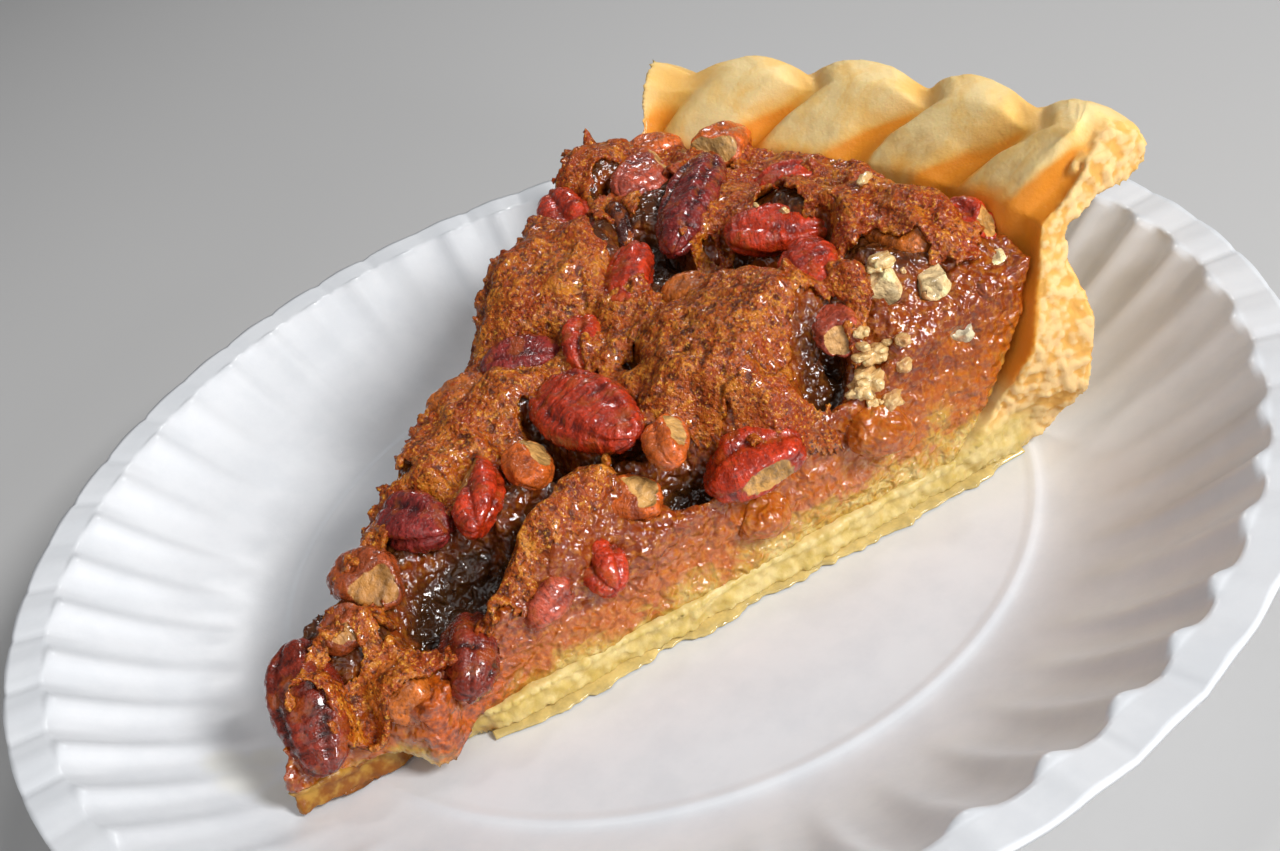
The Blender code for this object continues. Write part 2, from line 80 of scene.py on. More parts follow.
def ease(value: np.ndarray | float) -> np.ndarray:
    """Rise smoothly from 0 to 1 as the value goes from 0 to 1.

    Args:
        value: Any numbers; they are held between 0 and 1 first.

    Returns:
        The eased numbers.
    """
    t = np.clip(value, 0.0, 1.0)
    return t * t * (3.0 - 2.0 * t)


def scatter(cells: np.ndarray, salt: int) -> np.ndarray:
    """Give each whole-numbered cell its own fixed random number.

    Args:
        cells: Whole numbers, one row of three for each cell.
        salt: Number that makes one pattern differ from the next.

    Returns:
        One number between 0 and 1 for each row.
    """
    mixed = np.full(len(cells), salt * SALT_KEY)
    for axis, key in enumerate(CELL_KEYS):
        mixed = mixed ^ cells[:, axis] * key
    mixed = (mixed ^ (mixed >> 13)) * STIRS[0]
    mixed = (mixed ^ (mixed >> 15)) * STIRS[1]
    return ((mixed ^ (mixed >> 16)) & 0xFFFF) / 0xFFFF


def swell(places: np.ndarray, size: float, salt: int = 0) -> np.ndarray:
    """Smooth noise between -1 and 1.

    Args:
        places: Points in mm, one row each.
        size: Distance between neighbouring swells, in mm.
        salt: Number of the pattern.

    Returns:
        One number for each point.
    """
    grid = places / size
    cell = np.floor(grid).astype(np.int64)
    part = grid - cell
    part = part ** 3 * (part * (part * 6.0 - 15.0) + 10.0)
    total = np.zeros(len(places))
    for corner in range(8):
        step = np.array([corner & 1, corner >> 1 & 1, corner >> 2 & 1])
        weight = np.prod(np.where(step == 1, part, 1.0 - part), axis=1)
        total += weight * (2.0 * scatter(cell + step, salt) - 1.0)
    return total


def rough(places: np.ndarray, size: float, layers: int = 3, salt: int = 0) -> np.ndarray:
    """Layered noise, each layer half as large and a little over half as strong as the last.

    Args:
        places: Points in mm, one row each.
        size: Size of the largest layer in mm.
        layers: How many layers are added up.
        salt: Number of the first pattern.

    Returns:
        One number for each point, mostly between -1 and 1.
    """
    total = np.zeros(len(places))
    strength = 1.0
    reach = 0.0
    for layer in range(layers):
        total += strength * swell(places, size / 2 ** layer, salt + LAYER_SALT * layer)
        reach += strength
        strength *= LAYER_FADE
    return total / reach


def bubbles(places: np.ndarray, size: float, salt: int = 0) -> np.ndarray:
    """Distance to the nearest of many scattered centres, as in foam.

    Args:
        places: Points in mm, one row each.
        size: Mean distance between centres in mm.
        salt: Number of the pattern.

    Returns:
        The distance for each point, as a share of the size.
    """
    grid = places / size
    cell = np.floor(grid).astype(np.int64)
    best = np.full(len(places), 9.0)
    for corner in range(27):
        near = cell + np.array([corner % 3 - 1, corner // 3 % 3 - 1, corner // 9 - 1])
        centre = near + np.stack([scatter(near, salt + turn) for turn in (1, 2, 3)], axis=1)
        best = np.minimum(best, ((grid - centre) ** 2).sum(axis=1))
    return np.sqrt(best)


def wedge(places: np.ndarray) -> tuple[np.ndarray, np.ndarray]:
    """Read places on the slice.

    Args:
        places: Points in mm, one row each.

    Returns:
        s and v of each point.
    """
    dx = places[:, 0] - POINT[0]
    dy = places[:, 1] - POINT[1]
    return np.hypot(dx, dy), np.arctan2(dx, dy) / HALF_ANGLE


def half_width(s: np.ndarray) -> np.ndarray:
    """Half the width of the slice, in mm, at a distance from its point."""
    return s * math.tan(HALF_ANGLE)


# Shared handling of meshes

def clear_selection() -> None:
    """Leave nothing selected."""
    for other in bpy.context.selected_objects:
        other.select_set(False)


def only(obj: bpy.types.Object) -> None:
    """Select one object alone and make it active.

    Args:
        obj: The object.
    """
    clear_selection()
    obj.select_set(True)
    bpy.context.view_layer.objects.active = obj


def added(name: str) -> bpy.types.Object:
    """Name the primitive that was just added, and its mesh.

    Args:
        name: The name.

    Returns:
        The primitive.
    """
    obj = bpy.context.active_object
    obj.name = name
    obj.data.name = name
    return obj


def places_of(obj: bpy.types.Object) -> np.ndarray:
    """Points of an object's mesh in mm, one row each.

    Args:
        obj: The object.

    Returns:
        The points.
    """
    flat = np.zeros(len(obj.data.vertices) * 3)
    obj.data.vertices.foreach_get("co", flat)
    return flat.reshape(-1, 3) / MM


def normals_of(obj: bpy.types.Object) -> np.ndarray:
    """Outward directions at the points of an object's mesh, one row each.

    Args:
        obj: The object.

    Returns:
        The directions.
    """
    flat = np.zeros(len(obj.data.vertices) * 3)
    obj.data.vertices.foreach_get("normal", flat)
    return flat.reshape(-1, 3)


def put(obj: bpy.types.Object, places: np.ndarray) -> None:
    """Move the points of an object's mesh to these places in mm."""
    obj.data.vertices.foreach_set("co", (places * MM).astype(np.float32).ravel())
    obj.data.update()


def note(obj: bpy.types.Object, name: str, values: np.ndarray) -> None:
    """Keep one number for each point, which the finish reads by its name."""
    layer = obj.data.attributes.new(name, "FLOAT", "POINT")
    layer.data.foreach_set("value", values.astype(np.float32))


def note_places(obj: bpy.types.Object, name: str, places: np.ndarray) -> None:
    """Keep one place in mm for each point, for a pattern that follows the piece."""
    layer = obj.data.attributes.new(name, "FLOAT_VECTOR", "POINT")
    layer.data.foreach_set("vector", (places * MM).astype(np.float32).ravel())


def apply(obj: bpy.types.Object, kind: str, **settings: object) -> None:
    """Add a modifier and apply it at once.

    Args:
        obj: The object that it changes.
        kind: Blender's name for the modifier.
        settings: Values of the modifier's own settings.
    """
    only(obj)
    modifier = obj.modifiers.new(kind, kind)
    for setting, value in settings.items():
        setattr(modifier, setting, value)
    bpy.ops.object.modifier_apply(modifier=modifier.name)


def merged_copy(node: str, name: str) -> bpy.types.Object:
    """Copy a solid of the frame into a new object whose loose triangles are merged.

    Args:
        node: Name of the solid.
        name: Name of the new object.

    Returns:
        The new object.
    """
    obj = bpy.data.objects.new(name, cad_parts[node].data.copy())
    obj.data.name = name
    obj.data.materials.clear()
    bpy.context.scene.collection.objects.link(obj)
    only(obj)
    bpy.ops.object.mode_set(mode="EDIT")
    bpy.ops.mesh.select_all(action="SELECT")
    bpy.ops.mesh.remove_doubles(threshold=0.000002)
    bpy.ops.mesh.customdata_custom_splitnormals_clear()
    bpy.ops.object.mode_set(mode="OBJECT")
    return obj


def cut_away(obj: bpy.types.Object, kind: str, chosen: np.ndarray) -> None:
    """Delete the chosen points or faces of a mesh.

    Args:
        obj: The object.
        kind: VERT for points or FACE for faces.
        chosen: One truth value for each point or face.
    """
    mesh = obj.data
    for parts in (mesh.vertices, mesh.edges, mesh.polygons):
        parts.foreach_set("select", np.zeros(len(parts), bool))
    parts = mesh.vertices if kind == "VERT" else mesh.polygons
    parts.foreach_set("select", chosen)
    only(obj)
    bpy.context.tool_settings.mesh_select_mode = (kind == "VERT", False, kind == "FACE")
    bpy.ops.object.mode_set(mode="EDIT")
    bpy.ops.mesh.delete(type=kind)
    bpy.ops.object.mode_set(mode="OBJECT")
    bpy.context.tool_settings.mesh_select_mode = (True, False, False)


def drop_scraps(obj: bpy.types.Object, fewest: int) -> None:
    """Delete the loose bits of a mesh that have few points.

    Args:
        obj: The object.
        fewest: How many points a bit needs to stay.
    """
    mesh = obj.data
    owner = list(range(len(mesh.vertices)))

    def root(index: int) -> int:
        """Follow a point to the one that stands for its bit.

        Args:
            index: Number of the point.

        Returns:
            Number of the point that stands for it.
        """
        while owner[index] != index:
            owner[index] = owner[owner[index]]
            index = owner[index]
        return index

    for edge in mesh.edges:
        first, second = root(edge.vertices[0]), root(edge.vertices[1])
        owner[first] = second
    roots = np.array([root(index) for index in range(len(owner))])
    sizes = np.bincount(roots, minlength=len(owner))
    cut_away(obj, "VERT", sizes[roots] < fewest)


def surface_of(objects: list[bpy.types.Object]) -> BVHTree:
    """One search tree, in mm, over the faces of several objects.

    Args:
        objects: The objects.

    Returns:
        The tree.
    """
    points: list = []
    faces: list = []
    for obj in objects:
        start = len(points)
        points += [tuple(row) for row in places_of(obj)]
        faces += [[start + corner for corner in face.vertices] for face in obj.data.polygons]
    return BVHTree.FromPolygons(points, faces)


def joined(name: str, objects: list[bpy.types.Object]) -> bpy.types.Object:
    """Join several objects into one under a name.

    Args:
        name: Name of the joined object.
        objects: What is joined.

    Returns:
        The joined object.
    """
    only(objects[0])
    for obj in objects[1:]:
        obj.select_set(True)
    bpy.ops.object.join()
    return added(name)


def seat(obj: bpy.types.Object) -> None:
    """Apply an object's place, turn and size to its mesh."""
    only(obj)
    bpy.ops.object.transform_apply(location=True, rotation=True, scale=True)


def dress(obj: bpy.types.Object, material: bpy.types.Material,
          nodes: tuple[str, ...] = ()) -> None:
    """Give a finished piece its finish, its body and the solids that it stands for.

    Args:
        obj: The piece.
        material: Its finish.
        nodes: The solids that it replaces.
    """
    obj.data.materials.clear()
    obj.data.materials.append(material)
    only(obj)
    bpy.ops.object.shade_smooth()
    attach(obj, BODY)
    if nodes:
        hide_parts(*nodes)
    LOG.info("%s: %d faces", obj.name, len(obj.data.polygons))


# Finishes

class Nodes:
    """A material under construction, with short calls for the nodes that the finishes share."""

    def __init__(self, name: str) -> None:
        """Start a material with a plain Principled shader.

        Args:
            name: Name of the material.
        """
        self.material = bpy.data.materials.new(name)
        self.material.use_nodes = True
        self.tree = self.material.node_tree
        self.shader = self.tree.nodes["Principled BSDF"]
        self.place = self.add("ShaderNodeTexCoord").outputs["Object"]

    def add(self, kind: str) -> bpy.types.Node:
        """Add a node of a kind."""
        return self.tree.nodes.new(kind)

    def feed(self, socket: Socket, value: object) -> None:
        """Link a socket to another, or set its own value.

        Args:
            socket: The socket that is fed.
            value: Another socket, a number or a colour.
        """
        if isinstance(value, Socket):
            self.tree.links.new(value, socket)
        elif isinstance(value, tuple) and len(value) == 3 and socket.type == "RGBA":
            socket.default_value = (*value, 1.0)
        else:
            socket.default_value = value

    def noise(self, size: float, detail: float = 3.0, roughness: float = 0.6, distortion: float = 0.0,
              over: Socket | None = None) -> Socket:
        """Noise over the piece's own place.

        Args:
            size: Size of its patches in mm.
            detail: Number of finer layers.
            roughness: Strength of the finer layers.
            distortion: How far it is stirred.
            over: Other places that it runs over.

        Returns:
            The noise's value socket.
        """
        node = self.add("ShaderNodeTexNoise")
        self.feed(node.inputs["Scale"], 1.0 / (size * MM))
        self.feed(node.inputs["Detail"], detail)
        self.feed(node.inputs["Roughness"], roughness)
        self.feed(node.inputs["Distortion"], distortion)
        self.feed(node.inputs["Vector"], over or self.place)
        return node.outputs["Fac"]

    def followed(self, name: str, stretch: tuple[float, float, float]) -> Socket:
        """The places that were kept on the mesh under a name, stretched along their axes.

        Args:
            name: The name.
            stretch: Factor along each axis.

        Returns:
            The socket of the places.
        """
        kept = self.add("ShaderNodeAttribute")
        kept.attribute_name = name
        node = self.add("ShaderNodeMapping")
        self.feed(node.inputs["Vector"], kept.outputs["Vector"])
        self.feed(node.inputs["Scale"], stretch)
        return node.outputs["Vector"]

    def cells(self, size: float) -> Socket:
        """Distance to the nearest centre of cells of a size in mm.

        Args:
            size: Size of the cells.

        Returns:
            The socket of the distance, as a share of the size.
        """
        node = self.add("ShaderNodeTexVoronoi")
        self.feed(node.inputs["Scale"], 1.0 / (size * MM))
        self.feed(node.inputs["Vector"], self.place)
        return node.outputs["Distance"]

    def kept(self, name: str) -> Socket:
        """The numbers that were kept on the mesh under a name.

        Args:
            name: The name.

        Returns:
            Their socket.
        """
        node = self.add("ShaderNodeAttribute")
        node.attribute_name = name
        return node.outputs["Fac"]

    def span(self, value: Socket, low: float, high: float,
             out_low: float = 0.0, out_high: float = 1.0) -> Socket:
        """Map one range of a value onto another, held at both ends.

        Args:
            value: The value.
            low: Where its range starts.
            high: Where its range ends.
            out_low: Result at the start.
            out_high: Result at the end.

        Returns:
            The socket of the result.
        """
        node = self.add("ShaderNodeMapRange")
        node.interpolation_type = "SMOOTHSTEP"
        self.feed(node.inputs["Value"], value)
        self.feed(node.inputs["From Min"], low)
        self.feed(node.inputs["From Max"], high)
        self.feed(node.inputs["To Min"], out_low)
        self.feed(node.inputs["To Max"], out_high)
        return node.outputs["Result"]

    def sum(self, operation: str, first: object, second: object) -> Socket:
        """One sum of two values, such as ADD or MULTIPLY.

        Args:
            operation: Blender's name for the sum.
            first: First value.
            second: Second value.

        Returns:
            The socket of the result.
        """
        node = self.add("ShaderNodeMath")
        node.operation = operation
        self.feed(node.inputs[0], first)
        self.feed(node.inputs[1], second)
        return node.outputs[0]

    def mix(self, share: object, first: object, second: object) -> Socket:
        """Mix two colours.

        Args:
            share: How much of the second colour shows.
            first: Colour at a share of 0.
            second: Colour at a share of 1.

        Returns:
            The mixed colour's socket.
        """
        node = self.add("ShaderNodeMix")
        node.data_type = "RGBA"
        self.feed(node.inputs[0], share)
        self.feed(node.inputs[6], first)
        self.feed(node.inputs[7], second)
        return node.outputs[2]

    def blend(self, share: Socket, first: Socket | float, second: float) -> Socket:
        """Mix two numbers.

        Args:
            share: How much of the second number shows.
            first: Number at a share of 0.
            second: Number at a share of 1.

        Returns:
            The socket of the mixed number.
        """
        node = self.add("ShaderNodeMix")
        node.data_type = "FLOAT"
        self.feed(node.inputs[0], share)
        self.feed(node.inputs[2], first)
        self.feed(node.inputs[3], second)
        return node.outputs[0]

    def bump(self, height: Socket, depth: float, strength: float = 1.0,
             under: Socket | None = None) -> Socket:
        """Fine relief that is too small for the mesh.

        Args:
            height: The relief's pattern.
            depth: Its depth in mm.
            strength: How much of it shows.
            under: A coarser relief that it lies on.

        Returns:
            The normal's socket.
        """
        node = self.add("ShaderNodeBump")
        self.feed(node.inputs["Height"], height)
        self.feed(node.inputs["Distance"], depth * MM)
        self.feed(node.inputs["Strength"], strength)
        if under is not None:
            self.feed(node.inputs["Normal"], under)
        return node.outputs["Normal"]

    def glow(self, share: float, reach: tuple[float, float, float]) -> None:
        """Let light spread inside the piece.

        Args:
            share: How much of it does.
            reach: How far red, green and blue light spread, in mm.
        """
        self.set(Subsurface_Weight=share, Subsurface_Radius=tuple(MM * part for part in reach),
                 Subsurface_Scale=1.0)

    def set(self, **values: object) -> None:
        """Set or link the shader's own sockets, with _ for each space in a name.

        Args:
            values: A value or another socket for each.
        """
        for name, value in values.items():
            self.feed(self.shader.inputs[name.replace("_", " ")], value)


@dataclass(frozen=True)
class PaperFinish:
    """White paper with a thin shiny coat, pressed and slightly fibrous, with a faint grease stain."""

    white: Color = (0.80, 0.815, 0.84)
    shade: Color = (0.74, 0.76, 0.79)
    grease: Color = (0.77, 0.74, 0.60)

    def make(self) -> bpy.types.Material:
        """Build the material.

        Returns:
            The material.
        """
        nodes = Nodes("Coated paper")
        cloud = nodes.noise(9.0, 5.0, 0.65)
        fibre = nodes.noise(0.35, 3.0, 0.7)
        color = nodes.mix(nodes.span(cloud, 0.35, 0.7), self.white, self.shade)
        color = nodes.mix(nodes.sum("MULTIPLY", nodes.kept("grease"), 0.8), color, self.grease)
        pressed = nodes.bump(nodes.noise(2.6, 3.0, 0.5), 0.05, 0.5)
        nodes.set(Base_Color=color, Roughness=nodes.span(cloud, 0.2, 0.8, 0.34, 0.46),
                  Normal=nodes.bump(fibre, 0.02, 0.4, pressed), Coat_Weight=0.25, Coat_Roughness=0.22,
                  Specular_IOR_Level=0.5)
        return nodes.material


@dataclass(frozen=True)
class PastryFinish:
    """Baked pastry: pale gold, freckled, crumbly where torn, orange under syrup, with painted shade between
    the rim's ropes and in the crumb's hollows.
    """

    pale: Color = (0.97, 0.72, 0.33)
    gold: Color = (0.95, 0.60, 0.19)
    # toasted colours the freckles and is also the painted shade between the ropes of the rim
    toasted: Color = (0.86, 0.46, 0.10)
    crumb: Color = (0.90, 0.60, 0.27)
    # hollow is the painted shade in the hollows of the torn crumb
    hollow: Color = (0.80, 0.42, 0.10)
    soaked: Color = (0.62, 0.44, 0.12)
    damp: Color = (0.79, 0.62, 0.28)
    honey: Color = (0.95, 0.52, 0.060)
    syrup: Color = (0.88, 0.26, 0.008)
    steeped: Color = (0.25, 0.075, 0.006)
    olive: Color = (0.44, 0.23, 0.035)
    baked_dullness: float = 0.46
    torn_dullness: float = 0.85
    wet_dullness: float = 0.20
    glaze_dullness: float = 0.07

    def make(self) -> bpy.types.Material:
        """Build the material.

        Returns:
            The material.
        """
        nodes = Nodes("Baked pastry")
        patches = nodes.noise(6.0, 4.0, 0.6, distortion=0.6)
        freckles = nodes.noise(0.9, 3.0, 0.7)
        crust = nodes.mix(nodes.span(patches, 0.38, 0.66), self.pale, self.gold)
        # Painted shade: darker between the ropes of the rim
        crust = nodes.mix(nodes.sum("MULTIPLY", nodes.kept("valley"), 0.75), crust, self.toasted)
        crust = nodes.mix(nodes.span(freckles, 0.58, 0.8, 0.0, 0.35), crust, self.toasted)
        # Painted shade: the torn crumb takes a darker colour in its hollows
        torn = nodes.mix(nodes.span(nodes.kept("relief"), -0.35, 0.25), self.hollow, self.crumb)
        color = nodes.mix(nodes.kept("torn"), crust, torn)
        wet = nodes.mix(nodes.span(nodes.noise(2.4, 3.0), 0.3, 0.75), self.soaked, self.damp)
        color = nodes.mix(nodes.kept("wet"), color, wet)
        steeped = nodes.mix(nodes.span(nodes.noise(2.6, 3.0), 0.42, 0.66), self.steeped, self.olive)
        color = nodes.mix(nodes.kept("steeped"), color, steeped)
        glaze = nodes.mix(nodes.kept("glaze"), self.honey, self.syrup)
        color = nodes.mix(nodes.kept("glaze"), color, glaze)
        dull = nodes.blend(nodes.kept("torn"), self.baked_dullness, self.torn_dullness)
        dull = nodes.blend(nodes.kept("wet"), dull, self.wet_dullness)
        dull = nodes.blend(nodes.kept("glaze"), dull, self.glaze_dullness)
        grain = nodes.bump(nodes.noise(0.5, 4.0, 0.7), 0.10, 0.7)
        nodes.set(Base_Color=color, Roughness=dull, Normal=grain, Specular_IOR_Level=0.3)
        nodes.glow(0.12, (3.0, 1.6, 0.6))
        return nodes.material


@dataclass(frozen=True)
class CustardFinish:
    """Set syrup custard: wet and grainy, yellow low down and amber above, with painted shade, near black,
    in the hollows and on the top away from the right cut.
    """

    pale: Color = (0.68, 0.49, 0.16)
    low: Color = (0.54, 0.31, 0.045)
    amber: Color = (0.46, 0.100, 0.007)
    brown: Color = (0.26, 0.040, 0.004)
    light: Color = (0.62, 0.22, 0.022)
    deep: Color = (0.22, 0.040, 0.006)
    rust: Color = (0.60, 0.110, 0.006)
    # Near-black colour of the painted shade
    painted_shade: Color = (0.022, 0.011, 0.004)
    dullness: tuple[float, float] = (0.20, 0.03)
    spot_gloss: float = 0.6
    bead_depth: float = 1.15
    grain_depth: float = 0.07

    def make(self) -> bpy.types.Material:
        """Build the material.

        Returns:
            The material.
        """
        nodes = Nodes("Custard")
        grain = nodes.noise(0.7, 3.0, 0.65)
        beads = nodes.noise(1.3, 1.0, 0.45, 0.3)
        cloud = nodes.noise(4.5, 4.0, 0.6, 0.8)
        ripe = nodes.sum("ADD", nodes.kept("ripe"), nodes.span(cloud, 0.3, 0.7, -0.18, 0.18))
        color = nodes.mix(nodes.span(ripe, 0.0, 0.20), self.pale, self.low)
        color = nodes.mix(nodes.span(ripe, 0.15, 0.42), color, self.amber)
        color = nodes.mix(nodes.span(ripe, 0.50, 0.95), color, self.brown)
        color = nodes.mix(nodes.span(grain, 0.44, 0.70, 0.0, 0.55), color, self.light)
        color = nodes.mix(nodes.span(grain, 0.46, 0.28, 0.0, 0.40), color, self.deep)
        flap = nodes.mix(nodes.span(grain, 0.3, 0.7), self.deep, self.rust)
        color = nodes.mix(nodes.kept("flap"), color, flap)
        # Painted shade: near black in the hollows and on the top away from the right cut
        shade = nodes.sum("MULTIPLY", nodes.kept("painted_shade"), nodes.span(cloud, 0.2, 0.45))
        color = nodes.mix(shade, color, self.painted_shade)
        dull = nodes.span(nodes.noise(2.2, 2.0), 0.38, 0.52, *self.dullness)
        spots = nodes.span(nodes.noise(1.1, 2.0), 0.52, 0.58, 0.0, self.spot_gloss)
        wet = nodes.bump(beads, self.bead_depth)
        nodes.set(Base_Color=color, Roughness=dull, Normal=nodes.bump(grain, self.grain_depth, 1.0, wet),
                  Specular_IOR_Level=0.7, Coat_Weight=spots, Coat_Roughness=0.03)
        nodes.glow(0.12, (4.0, 1.4, 0.4))
        return nodes.material


@dataclass(frozen=True)
class SkinFinish:
    """Browned skin of the filling: orange-brown, porous, specked with gold, with glossy spots of syrup,
    painted shade in its pores and painted light on its crests.
    """

    pore_shade: Color = (0.090, 0.016, 0.003)
    body: Color = (0.37, 0.068, 0.004)
    high: Color = (0.64, 0.22, 0.018)
    edge: Color = (0.33, 0.036, 0.003)
    gold: Color = (0.80, 0.36, 0.04)
    dullness: tuple[float, float] = (0.36, 0.10)
    pore_depth: float = 0.14
    speck_depth: float = 0.30

    def make(self) -> bpy.types.Material:
        """Build the material.

        Returns:
            The material.
        """
        nodes = Nodes("Browned skin")
        cloud = nodes.noise(7.0, 4.0, 0.6, 0.5)
        speck = nodes.noise(0.42, 2.0, 0.6)
        mottle = nodes.noise(1.1, 3.0, 0.65)
        # Painted shade and light: the colour follows the sponge's relief, dark in the pores and lighter on
        # the crests
        relief = nodes.sum("ADD", nodes.kept("relief"), nodes.span(mottle, 0.3, 0.7, -0.5, 0.5))
        color = nodes.mix(nodes.span(relief, -0.8, -0.05), self.pore_shade, self.body)
        color = nodes.mix(nodes.span(relief, 0.1, 1.0), color, self.high)
        ruddy = nodes.sum("ADD", nodes.span(cloud, 0.45, 0.70, 0.0, 0.8), nodes.kept("back"))
        color = nodes.mix(ruddy, color, self.edge)
        honey = nodes.span(nodes.noise(2.6, 3.0, 0.65, 0.6), 0.50, 0.68, 0.0, 0.55)
        color = nodes.mix(honey, color, self.high)
        # The fine specks follow the bump: gold where they stand up and darker where they sink, partly the
        # skin's own flecks and partly painted light and shade
        color = nodes.mix(nodes.span(speck, 0.55, 0.72, 0.0, 0.85), color, self.gold)
        color = nodes.mix(nodes.span(speck, 0.46, 0.32, 0.0, 0.9), color, self.pore_shade)
        pores = nodes.bump(nodes.cells(0.6), self.pore_depth)
        nodes.set(Base_Color=color, Roughness=nodes.span(mottle, 0.44, 0.58, *self.dullness),
                  Normal=nodes.bump(speck, self.speck_depth, 1.0, pores), Specular_IOR_Level=0.35,
                  Coat_Weight=nodes.span(mottle, 0.52, 0.58), Coat_Roughness=0.05)
        nodes.glow(0.06, (3.0, 0.9, 0.3))
        return nodes.material


class Kernel(Enum):
    """The nuts: name, skin in the grooves, which is darker partly as painted shade, skin on the ridges, a
    cut face, and how furrowed they are.

    A sunk one lies under the custard and shares its finish, so it has no colours of its own.
    """

    RED = ("Red kernel", (0.15, 0.009, 0.003), (0.43, 0.030, 0.006), (0.74, 0.38, 0.10), 1.0)
    DARK = ("Dark kernel", (0.035, 0.004, 0.002), (0.19, 0.018, 0.006), (0.50, 0.22, 0.05), 1.0)
    PURPLE = ("Purple kernel", (0.040, 0.004, 0.005), (0.20, 0.018, 0.014), (0.50, 0.22, 0.05), 1.0)
    MAUVE = ("Mauve kernel", (0.14, 0.016, 0.009), (0.38, 0.062, 0.030), (0.74, 0.40, 0.14), 0.7)
    BLACK = ("Black kernel", (0.012, 0.003, 0.002), (0.050, 0.008, 0.004), (0.30, 0.12, 0.03), 0.8)
    BROWN = ("Brown kernel", (0.060, 0.010, 0.003), (0.28, 0.050, 0.010), (0.56, 0.25, 0.06), 0.6)
    TAN = ("Tan kernel", (0.18, 0.024, 0.005), (0.52, 0.100, 0.012), (0.74, 0.40, 0.12), 0.5)
    CREAM = ("Cream kernel", (0.66, 0.38, 0.13), (0.92, 0.66, 0.31), (0.93, 0.68, 0.34), 0.0)
    PALE = ("Pale kernel", (0.42, 0.30, 0.15), (0.66, 0.54, 0.34), (0.70, 0.58, 0.38), 0.0)
    COATED = ("Coated kernel", (0.13, 0.026, 0.005), (0.44, 0.110, 0.012), (0.56, 0.20, 0.03), 0.4)
    SUNK = ("Sunk kernel", 0.0)

    @property
    def furrows(self) -> float:
        """How strong the long furrows are, from 0 on a chopped bit to 1 on a half."""
        return self.value[-1]


@dataclass(frozen=True)
class KernelFinish:
    """Glossy toasted pecan skin with a film of syrup, and paler dry cut faces."""

    kernel: Kernel
    film: Color = (0.40, 0.085, 0.008)
    ridge_light: float = 1.7
    flesh_shade: float = 0.45
    film_dullness: tuple[float, float] = (0.30, 0.10)
    cut_dullness: float = 0.42
    fold_depth: float = 0.45
    speck_depth: float = 0.17

    def make(self) -> bpy.types.Material:
        """Build the material.

        Returns:
            The material.
        """
        name, groove, ridge, cut, _ = self.kernel.value
        nodes = Nodes(name)
        fold = nodes.noise(1.2, 3.0, 0.6, 0.4, nodes.followed("own_place", (1.0, 0.4, 0.4)))
        speck = nodes.noise(0.4, 2.0, 0.6)
        # Painted light and shade: darker in the furrows and folds, partly the skin's own tone and partly
        # painted shade, and lighter on the ridges as painted light
        relief = nodes.sum("ADD", nodes.kept("relief"), nodes.span(fold, 0.32, 0.68, -0.5, 0.5))
        color = nodes.mix(nodes.span(relief, -0.7, 0.35), groove, ridge)
        lit_ridge = tuple(min(1.0, self.ridge_light * part + 0.004) for part in ridge)
        color = nodes.mix(nodes.span(relief, 0.35, 1.0, 0.0, 0.7), color, lit_ridge)
        # Sunken specks take the groove's colour as painted shade
        color = nodes.mix(nodes.span(speck, 0.5, 0.3, 0.0, 0.7), color, groove)
        color = nodes.mix(nodes.span(nodes.noise(2.4, 3.0, 0.6), 0.52, 0.66, 0.0, 0.5), color, self.film)
        flesh = nodes.mix(nodes.span(fold, 0.38, 0.66), cut, tuple(self.flesh_shade * part for part in cut))
        bare = nodes.sum("ADD", nodes.kept("cut"), nodes.span(fold, 0.3, 0.7, -0.35, 0.2))
        color = nodes.mix(nodes.span(bare, 0.35, 0.65), color, flesh)
        spots = nodes.noise(0.9, 2.0)
        wet = nodes.span(spots, 0.44, 0.58, *self.film_dullness)
        dull = nodes.blend(nodes.kept("cut"), wet, self.cut_dullness)
        folds = nodes.bump(fold, self.fold_depth)
        nodes.set(Base_Color=color, Roughness=dull, Normal=nodes.bump(speck, self.speck_depth, 1.0, folds),
                  Specular_IOR_Level=0.40, Coat_Weight=nodes.span(spots, 0.46, 0.54), Coat_Roughness=0.05)
        return nodes.material


@dataclass(frozen=True)
class SyrupFinish:
    """Clear yellow syrup that ran onto the plate."""

    color: Color = (0.80, 0.60, 0.22)
    shade: float = 0.7

    def make(self) -> bpy.types.Material:
        """Build the material.

        Returns:
            The material.
        """
        nodes = Nodes("Syrup")
        cloud = nodes.noise(1.6, 3.0)
        deep = tuple(self.shade * part for part in self.color)
        color = nodes.mix(nodes.span(cloud, 0.3, 0.7), self.color, deep)
        nodes.set(Base_Color=color, Roughness=0.08, Transmission_Weight=0.1, IOR=1.45,
                  Normal=nodes.bump(cloud, 0.05, 0.5), Coat_Weight=0.5, Coat_Roughness=0.05)
        return nodes.material


# Sub-assemblies

